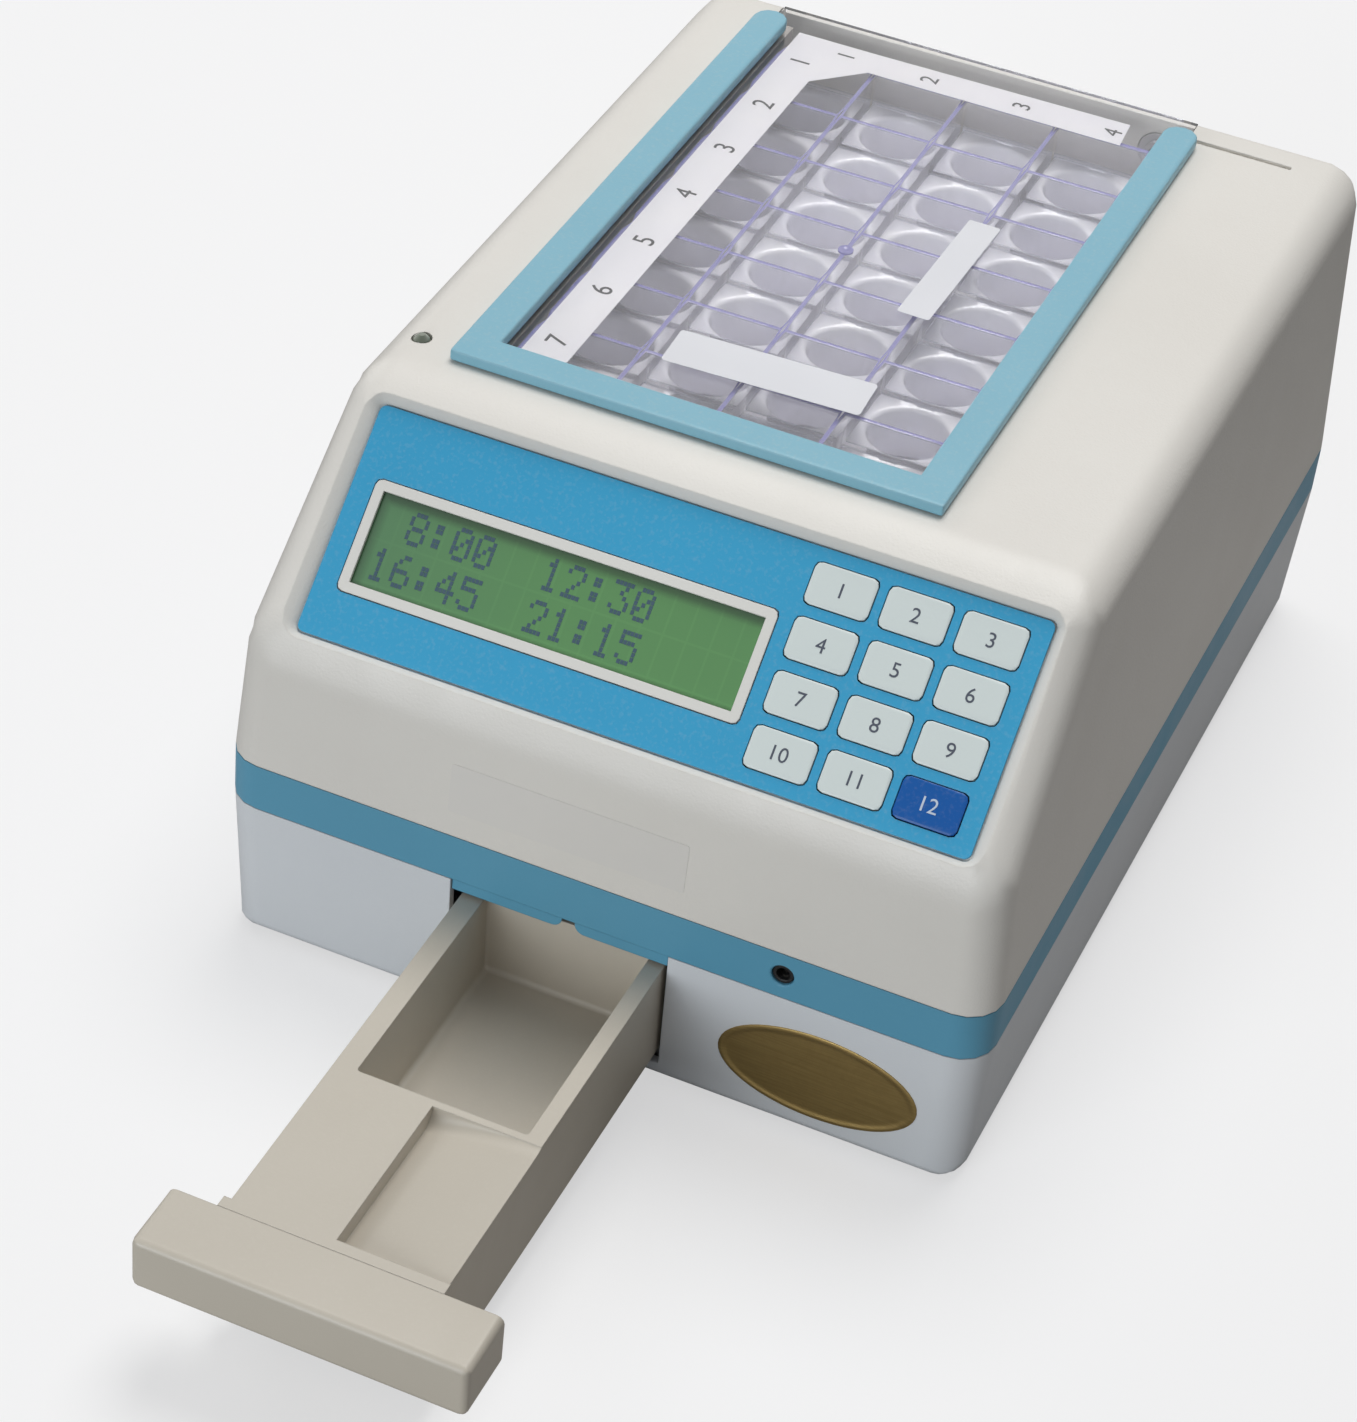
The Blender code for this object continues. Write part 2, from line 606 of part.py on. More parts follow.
def on_line(start, direction, level):
    """Point of a line in the side view where its height is level."""
    return start[0] + direction[0] * (level - start[1]) / direction[1]


def upper_form(inset, slope_inset, top_inset, bottom):
    """Side-drafted housing with its sloped console face, each face moved in by its inset."""
    front_x = -HALF_DEPTH + inset
    slope = (math.cos(SLOPE_ANGLE), math.sin(SLOPE_ANGLE))
    slope_start = (
        FRONT_CREASE_Y + slope_inset * slope[1],
        FRONT_WALL_TOP - slope_inset * slope[0],
    )
    top = BODY_HEIGHT - top_inset
    slope_rate = slope[0] / slope[1]
    base_line = front_x - TOP_RATE * BAND_TOP
    crease_z = (slope_start[0] - slope_rate * slope_start[1] - base_line) / (TOP_RATE - slope_rate)

    def half_width(z):
        return HALF_WIDTH - inset - TOP_RATE * (z - BAND_TOP)

    def front_y(z):
        return base_line + TOP_RATE * z

    def rear_y(z):
        return HALF_DEPTH - inset - TOP_RATE * (z - BAND_TOP)

    side = [
        (front_y(bottom), bottom),
        (front_y(crease_z), crease_z),
        (on_line(slope_start, slope, top), top),
        (rear_y(top), top),
        (rear_y(bottom), bottom),
    ]
    mesh = bmesh.new()
    left = [mesh.verts.new((-half_width(z), y, z)) for y, z in side]
    right = [mesh.verts.new((half_width(z), y, z)) for y, z in side]
    mesh.faces.new(left)
    mesh.faces.new(right)
    for i in range(len(side)):
        j = (i + 1) % len(side)
        mesh.faces.new((left[i], left[j], right[j], right[i]))
    weights = mesh.edges.layers.float.new("bevel_weight_edge")
    rear_share = REAR_EDGE_RADIUS / EDGE_RADIUS
    for edge in mesh.edges:
        ends = [vertex.co for vertex in edge.verts]
        low = max(end.z for end in ends) <= bottom + GAP
        across_rear = min(end.y for end in ends) > 0 and abs(ends[0].x - ends[1].x) > HALF_WIDTH
        edge[weights] = 0.0 if low else (rear_share if across_rear else 1.0)
    return mesh


def lower_form(inset, low, high, low_inset, round_floor):
    """Rounded box between two heights whose foot is drawn in by low_inset."""
    mesh = bmesh.new()
    rings = []
    for z, extra in ((low, low_inset), (high, 0.0)):
        half_x = HALF_WIDTH - inset - extra
        half_y = HALF_DEPTH - inset - extra
        rings.append([(x, y, z) for x, y in rectangle((-half_x, half_x), (-half_y, half_y))])
    loft(mesh, rings)
    weights = mesh.edges.layers.float.new("bevel_weight_edge")
    floor_share = BASE_EDGE_RADIUS / EDGE_RADIUS
    for edge in mesh.edges:
        heights = [vertex.co.z for vertex in edge.verts]
        upright = abs(heights[0] - heights[1]) > GAP
        on_floor = max(heights) <= low + GAP
        edge[weights] = 1.0 if upright else (floor_share if on_floor and round_floor else 0.0)
    return mesh


def make_base(root):
    top = BASE_TOP - GAP / 2
    base = add_piece(
        "base_housing", lower_form(0, FOOT_HEIGHT, top, BASE_INSET, True), root, "pale_grey"
    )
    bevel_by_weight(base, EDGE_RADIUS, ROUND_STEPS)
    pocket = add_cutter(
        "base_pocket", lower_form(WALL, FLOOR_TOP, BASE_TOP + OVERRUN, BASE_INSET, False), root
    )
    bevel_by_weight(pocket, EDGE_RADIUS - WALL, ROUND_STEPS)
    cut(base, pocket)

    bosses = bmesh.new()
    for x, y in board_corners(BOSS_INSET):
        cylinder(
            bosses, (x, y), BOSS_RADIUS, FLOOR_TOP - WALL / 2, FLOOR_TOP + BOSS_HEIGHT, "Z",
            SMALL_CIRCLE_STEPS,
        )
    join(base, add_cutter("base_bosses", bosses, root))

    holes = bmesh.new()
    box(
        holes,
        (DRAWER_OPENING_LEFT, DRAWER_OPENING_RIGHT),
        (-HALF_DEPTH - OVERRUN, -HALF_DEPTH + WALL + OVERRUN),
        (DRAWER_OPENING_BOTTOM, BASE_TOP + OVERRUN),
    )
    cylinder(
        holes, (INLET_X, INLET_Z), INLET_RADIUS + GAP,
        HALF_DEPTH - WALL - OVERRUN, HALF_DEPTH + OVERRUN, "Y",
    )
    cut(base, add_cutter("base_holes", holes, root))
    return base


def board_corners(inset):
    half_x = BOARD_WIDTH / 2 - inset
    half_y = BOARD_DEPTH / 2 - inset
    return [(BOARD_X + sx * half_x, BOARD_Y + sy * half_y) for sx in (-1, 1) for sy in (-1, 1)]


def make_band(root):
    low = BASE_TOP + GAP / 2
    high = BAND_TOP - GAP / 2
    band = add_piece("chassis_band", lower_form(0, low, high, 0, False), root, "teal")
    bevel_by_weight(band, EDGE_RADIUS, ROUND_STEPS)

    for name, start, end in (
        ("band_upper_pocket", DECK_TOP, BAND_TOP + OVERRUN),
        ("band_lower_pocket", BASE_TOP - OVERRUN, DECK_TOP - DECK_THICKNESS),
    ):
        pocket = add_cutter(name, lower_form(WALL, start, end, 0, False), root)
        bevel_by_weight(pocket, EDGE_RADIUS - WALL, ROUND_STEPS)
        cut(band, pocket)

    lip_front = -HALF_DEPTH + LIP_SET_BACK
    lip_top = low + LIP_DROP
    lip_bottom = BASE_TOP - LIP_DROP
    left = DRAWER_OPENING_LEFT + GAP
    right = DRAWER_OPENING_RIGHT - GAP
    notch_x = (DRAWER_OPENING_LEFT + DRAWER_OPENING_RIGHT) / 2 + LIP_NOTCH_SHIFT
    notch_left = notch_x - LIP_NOTCH_WIDTH / 2
    notch_right = notch_x + LIP_NOTCH_WIDTH / 2
    notch_top = low + GAP
    radius = LIP_NOTCH_RADIUS
    round_z = lip_bottom + radius
    outline = [(left, lip_top), (left, lip_bottom)]
    outline += arc((notch_left - radius, round_z), radius, 1.5 * math.pi, 2 * math.pi, 6)
    outline += [(notch_left, notch_top), (notch_right, notch_top)]
    outline += arc((notch_right + radius, round_z), radius, math.pi, 1.5 * math.pi, 6)
    outline += [(right, lip_bottom), (right, lip_top)]
    lip = prism(bmesh.new(), outline, lip_front, lip_front + LIP_THICKNESS, "Y")
    join(band, add_cutter("band_lip", lip, root))

    holes = bmesh.new()
    rings = []
    for y, radius in (
        (-HALF_DEPTH - OVERRUN, JACK_HOLE_RADIUS + JACK_CHAMFER),
        (-HALF_DEPTH, JACK_HOLE_RADIUS + JACK_CHAMFER),
        (-HALF_DEPTH + JACK_CHAMFER, JACK_HOLE_RADIUS),
        (-HALF_DEPTH + JACK_LENGTH + OVERRUN, JACK_HOLE_RADIUS),
    ):
        rings.append([(x, y, z) for x, z in circle((JACK_X, JACK_Z), radius)])
    loft(holes, rings)
    half_outlet = OUTLET_WIDTH / 2 + CHUTE_WALL + GAP
    box(
        holes,
        (DRAWER_X - half_outlet, DRAWER_X + half_outlet),
        (OUTLET_FRONT - CHUTE_WALL - GAP, OUTLET_REAR + CHUTE_WALL + GAP),
        (DECK_TOP - DECK_THICKNESS - OVERRUN, DECK_TOP + OVERRUN),
    )
    cut(band, add_cutter("band_holes", holes, root))
    return band


def make_top(root, console):
    bottom = BAND_TOP + GAP / 2
    top = add_piece("top_housing", upper_form(0, 0, 0, bottom), root, "cream")
    bevel_by_weight(top, EDGE_RADIUS, ROUND_STEPS)
    slope_wall = RECESS_DEPTH + CONSOLE_FLOOR
    hollow = add_cutter(
        "top_hollow", upper_form(WALL, slope_wall, WALL, BAND_TOP - OVERRUN), root
    )
    bevel_by_weight(hollow, EDGE_RADIUS - WALL, ROUND_STEPS)
    cut(top, hollow)

    half_window = WINDOW_WIDTH / 2 + GAP
    rear_edge = HALF_DEPTH + OVERRUN
    openings = bmesh.new()
    outline = [
        (WINDOW_FRONT - GAP, BODY_HEIGHT - WALL - OVERRUN),
        (FRAME_REAR - OVERRUN, BODY_HEIGHT - WALL - OVERRUN),
        (FRAME_REAR - OVERRUN, DOOR_BOTTOM - GAP),
        (rear_edge, DOOR_BOTTOM - GAP),
        (rear_edge, BODY_HEIGHT + OVERRUN),
        (WINDOW_FRONT - GAP, BODY_HEIGHT + OVERRUN),
    ]
    prism(openings, outline, BAY_CENTRE_X - half_window, BAY_CENTRE_X + half_window, "X")
    cylinder(
        openings, (LAMP_X, LAMP_Y), LAMP_RADIUS + GAP, BODY_HEIGHT - WALL - OVERRUN,
        BODY_HEIGHT + OVERRUN, "Z", SMALL_CIRCLE_STEPS,
    )
    cut(top, add_cutter("top_openings", openings, root))

    groove = bmesh.new()
    groove_start = BAY_CENTRE_X + WINDOW_WIDTH / 2
    outline = rounded_rectangle(
        (groove_start - OVERRUN, groove_start + GROOVE_LENGTH),
        (GROOVE_Y - GROOVE_WIDTH / 2, GROOVE_Y + GROOVE_WIDTH / 2),
        GROOVE_WIDTH / 2 - GAP,
        2,
    )
    prism(groove, outline, BODY_HEIGHT - GROOVE_DEPTH, BODY_HEIGHT + OVERRUN, "Z")
    cut(top, add_cutter("top_groove", groove, root))

    cut(top, add_cutter("console_recess", recess_form(), console))
    cut(top, add_cutter("console_windows", console_windows(), console))
    return top


def panel_limits(side_margin, end_margin):
    x = (
        PANEL_OFFSET - PANEL_WIDTH / 2 - side_margin,
        PANEL_OFFSET + PANEL_WIDTH / 2 + side_margin,
    )
    v = (PANEL_START - end_margin, PANEL_START + PANEL_HEIGHT + end_margin)
    return x, v


def recess_form():
    """Console pocket whose walls flare in a soft curve from the panel's edge to the slope."""
    rings = []
    shares = ((0.0, 0.0), (0.25, 0.12), (0.6, 0.45), (1.0, 1.0))
    for up_share, out_share in shares:
        side = GAP + RECESS_SIDE_FLARE * out_share
        end = GAP + RECESS_END_FLARE * out_share
        radius = PANEL_RADIUS + (RECESS_RADIUS - PANEL_RADIUS) * out_share
        x, v = panel_limits(side, end)
        height = -RECESS_DEPTH * (1 - up_share)
        rings.append([(p[0], p[1], height) for p in rounded_rectangle(x, v, radius)])
    rings.append([(x, v, OVERRUN) for x, v, height in rings[-1]])
    return loft(bmesh.new(), rings)


def console_windows():
    """The two openings in the console floor, one behind the display and one behind the keys."""
    mesh = bmesh.new()
    depth = (CONSOLE_BACK - OVERRUN, -RECESS_DEPTH + OVERRUN / 2)
    outline = rounded_rectangle(
        (LCD_LEFT, LCD_LEFT + LCD_BORDER_WIDTH),
        (LCD_START, LCD_START + LCD_BORDER_HEIGHT),
        KEY_RADIUS,
        2,
    )
    prism(mesh, outline, depth[0], depth[1], "Z")
    half_x = KEYPAD_WIDTH / 2 + GAP
    half_v = KEYPAD_HEIGHT / 2 + GAP
    outline = rounded_rectangle(
        (KEYPAD_X - half_x, KEYPAD_X + half_x), (KEYPAD_V - half_v, KEYPAD_V + half_v), KEY_RADIUS, 2
    )
    prism(mesh, outline, depth[0], depth[1], "Z")
    return mesh


def key_centres():
    """Key centres from the top left, row by row, as the keys are numbered."""
    centres = []
    for row in range(KEY_ROWS):
        for column in range(KEY_COLUMNS):
            v = KEY_FIRST_V + (KEY_ROWS - 1 - row) * KEY_PITCH_V
            centres.append((KEY_FIRST_X + column * KEY_PITCH_X, v))
    return centres


def make_console(console):
    x, v = panel_limits(0, 0)
    panel = add_piece(
        "keypad_overlay",
        prism(bmesh.new(), rounded_rectangle(x, v, PANEL_RADIUS), PANEL_BOTTOM, PANEL_TOP, "Z"),
        console,
        "blue",
    )
    holes = bmesh.new()
    depth = (PANEL_BOTTOM - OVERRUN, PANEL_TOP + OVERRUN)
    lcd_x = (LCD_LEFT - GAP, LCD_LEFT + LCD_BORDER_WIDTH + GAP)
    lcd_v = (LCD_START - GAP, LCD_START + LCD_BORDER_HEIGHT + GAP)
    prism(holes, rounded_rectangle(lcd_x, lcd_v, KEY_RADIUS, 2), depth[0], depth[1], "Z")
    half_x = KEY_WIDTH / 2 + GAP
    half_v = KEY_HEIGHT / 2 + GAP
    for key_x, key_v in key_centres():
        outline = rounded_rectangle(
            (key_x - half_x, key_x + half_x), (key_v - half_v, key_v + half_v), KEY_RADIUS, 2
        )
        prism(holes, outline, depth[0], depth[1], "Z")
    cut(panel, add_cutter("overlay_holes", holes, console))

    half_x = KEY_WIDTH / 2
    half_v = KEY_HEIGHT / 2
    for number, (key_x, key_v) in enumerate(key_centres(), 1):
        last = number == KEY_COLUMNS * KEY_ROWS
        outline = rounded_rectangle((-half_x, half_x), (-half_v, half_v), KEY_RADIUS, 2)
        shoulder = rounded_rectangle(
            (-half_x + KEY_RISE, half_x - KEY_RISE), (-half_v + KEY_RISE, half_v - KEY_RISE),
            KEY_RADIUS - KEY_RISE, 2,
        )
        rings = [
            [(a, b, -KEY_SKIRT - KEY_RISE / 2) for a, b in outline],
            [(a, b, KEY_RISE / 2) for a, b in outline],
            [(a, b, KEY_RISE) for a, b in shoulder],
        ]
        add_piece(
            "key_%02d" % number,
            loft(bmesh.new(), rings),
            console,
            "deep_blue" if last else "key_grey",
            (key_x, key_v, PANEL_TOP),
        )

    add_display(console)
    add_key_board(console)


def add_display(console):
    """Pale frame round the display, its glass set back in it and the module behind the wall."""
    outer_x = (LCD_LEFT, LCD_LEFT + LCD_BORDER_WIDTH)
    outer_v = (LCD_START, LCD_START + LCD_BORDER_HEIGHT)
    bottom = PANEL_BOTTOM
    frame = add_piece(
        "lcd_border",
        prism(
            bmesh.new(), rounded_rectangle(outer_x, outer_v, KEY_RADIUS, 2),
            bottom, bottom + LCD_FRAME_THICKNESS, "Z",
        ),
        console,
        "white",
    )
    inner_x = (outer_x[0] + LCD_FRAME, outer_x[1] - LCD_FRAME)
    inner_v = (outer_v[0] + LCD_FRAME, outer_v[1] - LCD_FRAME)
    hole = box(bmesh.new(), inner_x, inner_v, (bottom - OVERRUN, PANEL_TOP + OVERRUN))
    cut(frame, add_cutter("lcd_border_hole", hole, console))

    glass_top = bottom - GAP
    outline = rounded_rectangle(
        (outer_x[0] + GAP, outer_x[1] - GAP), (outer_v[0] + GAP, outer_v[1] - GAP), KEY_RADIUS, 2
    )
    glass = prism(bmesh.new(), outline, glass_top - LCD_GLASS_THICKNESS, glass_top, "Z")
    add_piece("lcd_glass", glass, console, "lcd_green")

    board_top = CONSOLE_BACK - GAP
    module = bmesh.new()
    outline = rectangle(
        (LCD_X - LCD_BOARD_WIDTH / 2, LCD_X + LCD_BOARD_WIDTH / 2),
        (LCD_V - LCD_BOARD_HEIGHT / 2, LCD_V + LCD_BOARD_HEIGHT / 2),
    )
    prism(module, outline, board_top - LCD_BOARD_THICKNESS - LCD_BACK_DEPTH, board_top, "Z")
    board = add_piece("lcd_module", module, console, "board")
    riser = box(
        bmesh.new(),
        (outer_x[0] + LCD_FRAME, outer_x[1] - LCD_FRAME),
        (outer_v[0] + LCD_FRAME, outer_v[1] - LCD_FRAME),
        (board_top - LCD_BOARD_THICKNESS / 2, glass_top - LCD_GLASS_THICKNESS - GAP),
    )
    join(board, add_cutter("lcd_riser", riser, console))
    back = bmesh.new()
    margin = LCD_BACK_DEPTH
    box(
        back,
        (LCD_X - LCD_BOARD_WIDTH / 2 - OVERRUN, LCD_X + LCD_BOARD_WIDTH / 2 + OVERRUN),
        (LCD_V + LCD_BOARD_HEIGHT / 2 - margin, LCD_V + LCD_BOARD_HEIGHT / 2 + OVERRUN),
        (board_top - LCD_BOARD_THICKNESS - LCD_BACK_DEPTH - OVERRUN,
         board_top - LCD_BOARD_THICKNESS),
    )
    box(
        back,
        (LCD_X - LCD_BOARD_WIDTH / 2 - OVERRUN, LCD_X + LCD_BOARD_WIDTH / 2 + OVERRUN),
        (LCD_V - LCD_BOARD_HEIGHT / 2 - OVERRUN, LCD_V - LCD_BOARD_HEIGHT / 2 + margin),
        (board_top - LCD_BOARD_THICKNESS - LCD_BACK_DEPTH - OVERRUN,
         board_top - LCD_BOARD_THICKNESS),
    )
    cut(board, add_cutter("lcd_back_steps", back, console))


def add_key_board(console):
    """Board behind the console floor with one switch dome under each key."""
    top = CONSOLE_BACK - GAP
    half_x = KEYPAD_WIDTH / 2 + KEY_BOARD_MARGIN
    half_v = KEYPAD_HEIGHT / 2 + KEY_BOARD_MARGIN
    lcd_edge = LCD_X + LCD_BOARD_WIDTH / 2 + GAP
    left = max(KEYPAD_X - half_x, lcd_edge)
    board = add_piece(
        "keypad_board",
        box(
            bmesh.new(), (left, KEYPAD_X + half_x), (KEYPAD_V - half_v, KEYPAD_V + half_v),
            (top - KEY_BOARD_THICKNESS, top),
        ),
        console,
        "board",
    )
    domes = bmesh.new()
    dome_top = PANEL_TOP - KEY_SKIRT - KEY_RISE / 2 - KEY_STROKE - GAP / 2
    for key_x, key_v in key_centres():
        cylinder(
            domes, (key_x, key_v), SWITCH_RADIUS, top - KEY_BOARD_THICKNESS / 2, dome_top, "Z",
            SMALL_CIRCLE_STEPS,
        )
    join(board, add_cutter("switch_domes", domes, console))


def make_lamp_and_jack(root):
    flange_top = BODY_HEIGHT - WALL - LAMP_SEAT
    lamp = bmesh.new()
    rings = []
    levels = (
        (flange_top - LAMP_LENGTH, LAMP_RADIUS),
        (flange_top - LAMP_FLANGE_HEIGHT, LAMP_RADIUS),
        (flange_top - LAMP_FLANGE_HEIGHT, LAMP_FLANGE_RADIUS),
        (flange_top, LAMP_FLANGE_RADIUS),
        (flange_top, LAMP_RADIUS),
        (BODY_HEIGHT - LAMP_RISE, LAMP_RADIUS),
        (BODY_HEIGHT, LAMP_RADIUS * math.cos(math.pi / 5)),
        (BODY_HEIGHT + LAMP_RISE, LAMP_RADIUS / 3),
    )
    for z, radius in levels:
        points = circle((0, 0), radius, SMALL_CIRCLE_STEPS)
        rings.append([(x, y, z - BODY_HEIGHT) for x, y in points])
    add_piece("alarm_lamp", loft(lamp, rings), root, "lamp", (LAMP_X, LAMP_Y, BODY_HEIGHT))

    face = -HALF_DEPTH + JACK_RECESS
    jack = bmesh.new()
    rings = []
    outer = JACK_HOLE_RADIUS - GAP
    for y, radius in (
        (face, outer),
        (face + JACK_LENGTH, outer),
        (face + JACK_LENGTH, JACK_BORE_RADIUS),
        (face + JACK_BORE_RADIUS, JACK_BORE_RADIUS),
        (face, JACK_BORE_RADIUS + GAP),
    ):
        rings.append([(x, y, z) for x, z in circle((JACK_X, JACK_Z), radius, SMALL_CIRCLE_STEPS)])
    add_piece("jack_socket", loft(jack, rings, closed=True), root, "dark")


def make_window(root):
    half = WINDOW_WIDTH / 2
    outline = rectangle((BAY_CENTRE_X - half, BAY_CENTRE_X + half), (WINDOW_FRONT, WINDOW_REAR))
    pane = prism(bmesh.new(), outline, WINDOW_BOTTOM, WINDOW_TOP, "Z")
    add_piece("window_cover", pane, root, "clear")

    left = BAY_CENTRE_X - BEZEL_WIDTH / 2
    right = BAY_CENTRE_X + BEZEL_WIDTH / 2
    rail = BEZEL_RAIL
    round_end = rail / 2
    steps = 6
    outline = [(left, BEZEL_FRONT), (right, BEZEL_FRONT)]
    end_y = BEZEL_REAR - round_end
    outline += arc((right - round_end, end_y), round_end, 0, math.pi, steps)
    outline += [(right - rail, BEZEL_FRONT + rail), (left + rail, BEZEL_FRONT + rail)]
    outline += arc((left + round_end, end_y), round_end, 0, math.pi, steps)
    low = BODY_HEIGHT + GAP
    bezel = add_piece(
        "window_bezel",
        prism(bmesh.new(), outline, low, low + BEZEL_HEIGHT, "Z"),
        root,
        "teal_light",
    )
    bevel(bezel, BEZEL_EDGE, 2)


def cell_limits(column, row):
    left = TRAY_LEFT + TRAY_RIM + column * CELL_PITCH_X
    rear = TRAY_REAR - TRAY_RIM - row * CELL_PITCH_Y
    half_wall = CELL_WALL / 2
    x = (left + half_wall, left + CELL_PITCH_X - half_wall)
    y = (rear - CELL_PITCH_Y + half_wall, rear - half_wall)
    return x, y


def make_tray(root):
    """Clear tray of 28 cells: square at the top, drawn in like a bowl to a round outlet below."""
    tray = add_piece(
        "pill_tray",
        box(
            bmesh.new(), (TRAY_LEFT, TRAY_RIGHT), (TRAY_REAR - TRAY_DEPTH, TRAY_REAR),
            (TRAY_BOTTOM, TRAY_TOP),
        ),
        root,
        "clear",
    )
    cells = bmesh.new()
    steps = 3
    bowl_top = TRAY_TOP - TRAY_HEIGHT * CELL_STRAIGHT_SHARE
    for row in range(TRAY_ROWS):
        for column in range(TRAY_COLUMNS):
            x, y = cell_limits(column, row)
            square = rounded_rectangle(x, y, CELL_CORNER_RADIUS, steps)
            centre = ((x[0] + x[1]) / 2, (y[0] + y[1]) / 2)
            outlet = []
            for a, b in square:
                away = math.hypot(a - centre[0], b - centre[1])
                share = CELL_OUTLET_RADIUS / away
                outlet.append((centre[0] + (a - centre[0]) * share,
                               centre[1] + (b - centre[1]) * share))
            rings = [[(a, b, TRAY_TOP + OVERRUN) for a, b in square]]
            for down_share, wide_share in CELL_BOWL_SHARES:
                z = bowl_top + (TRAY_BOTTOM - bowl_top) * down_share
                ring = []
                for (a, b), (c, d) in zip(square, outlet):
                    ring.append((c + (a - c) * wide_share, d + (b - d) * wide_share, z))
                rings.append(ring)
            rings.append([(a, b, TRAY_BOTTOM - OVERRUN) for a, b in outlet])
            loft(cells, rings)
    cut(tray, add_cutter("tray_cells", cells, root))


def make_shutter(root):
    """Sheet under the tray, with a stepped rear edge, that winds onto the roller at the front."""
    left = TRAY_LEFT + SHEET_SIDE_LAP
    right = TRAY_RIGHT - SHEET_SIDE_LAP
    start = math.pi / 2
    centre = (ROLLER_Y, ROLLER_Z)
    rear = SHEET_REAR + (TRAY_COLUMNS - 1) * SHEET_STEP
    outline = [(rear, SHEET_TOP)]
    outline += arc(centre, WRAP_RADIUS, start, start + WRAP_ANGLE, WRAP_STEPS)
    inner_radius = WRAP_RADIUS - SHEET_THICKNESS
    outline += arc(centre, inner_radius, start + WRAP_ANGLE, start, WRAP_STEPS)
    outline += [(rear, SHEET_BOTTOM)]
    sheet = add_piece(
        "shutter_sheet", prism(bmesh.new(), outline, left, right, "X"), root, "film"
    )
    steps = bmesh.new()
    column_left = TRAY_LEFT + TRAY_RIM
    points = [(left - OVERRUN, SHEET_REAR)]
    for column in range(TRAY_COLUMNS - 1):
        edge = column_left + (column + 1) * CELL_PITCH_X
        y = SHEET_REAR + column * SHEET_STEP
        points += [(edge, y), (edge, y + SHEET_STEP)]
    points += [(points[-1][0], rear + OVERRUN), (left - OVERRUN, rear + OVERRUN)]
    prism(steps, points, SHEET_BOTTOM - OVERRUN, SHEET_TOP + OVERRUN, "Z")
    cut(sheet, add_cutter("sheet_steps", steps, root))

    axle_left = PLATE_LEFT - FRAME_WALL - GEAR_STAND_OFF
    axle_right = GEAR_X + GEAR_FACE
    rings = []
    for x, radius in (
        (axle_left, AXLE_RADIUS),
        (left, AXLE_RADIUS),
        (left, ROLLER_RADIUS),
        (right, ROLLER_RADIUS),
        (right, AXLE_RADIUS),
        (axle_right, AXLE_RADIUS),
    ):
        rings.append([(x, y, z) for y, z in circle((0, 0), radius)])
    add_piece(
        "drive_roller", loft(bmesh.new(), rings), root, "gear", (0, ROLLER_Y, ROLLER_Z)
    )


def gear_outline(teeth, phase):
    """Tooth outline with straight flanks, thinned a little so that it runs with play."""
    pitch_radius = GEAR_MODULE * teeth / 2
    tip = pitch_radius + GEAR_MODULE * ADDENDUM_SHARE
    root_radius = pitch_radius - GEAR_MODULE * DEDENDUM_SHARE
    quarter = math.pi / teeth / 2
    tip_half = quarter * TOOTH_TIP_SHARE * GEAR_BACKLASH_SHARE
    root_half = quarter * TOOTH_ROOT_SHARE * GEAR_BACKLASH_SHARE
    points = []
    for i in range(teeth):
        middle = phase + 2 * math.pi * i / teeth
        for angle, radius in (
            (middle - root_half, root_radius),
            (middle - tip_half, tip),
            (middle + tip_half, tip),
            (middle + root_half, root_radius),
        ):
            points.append((radius * math.cos(angle), radius * math.sin(angle)))
    return points


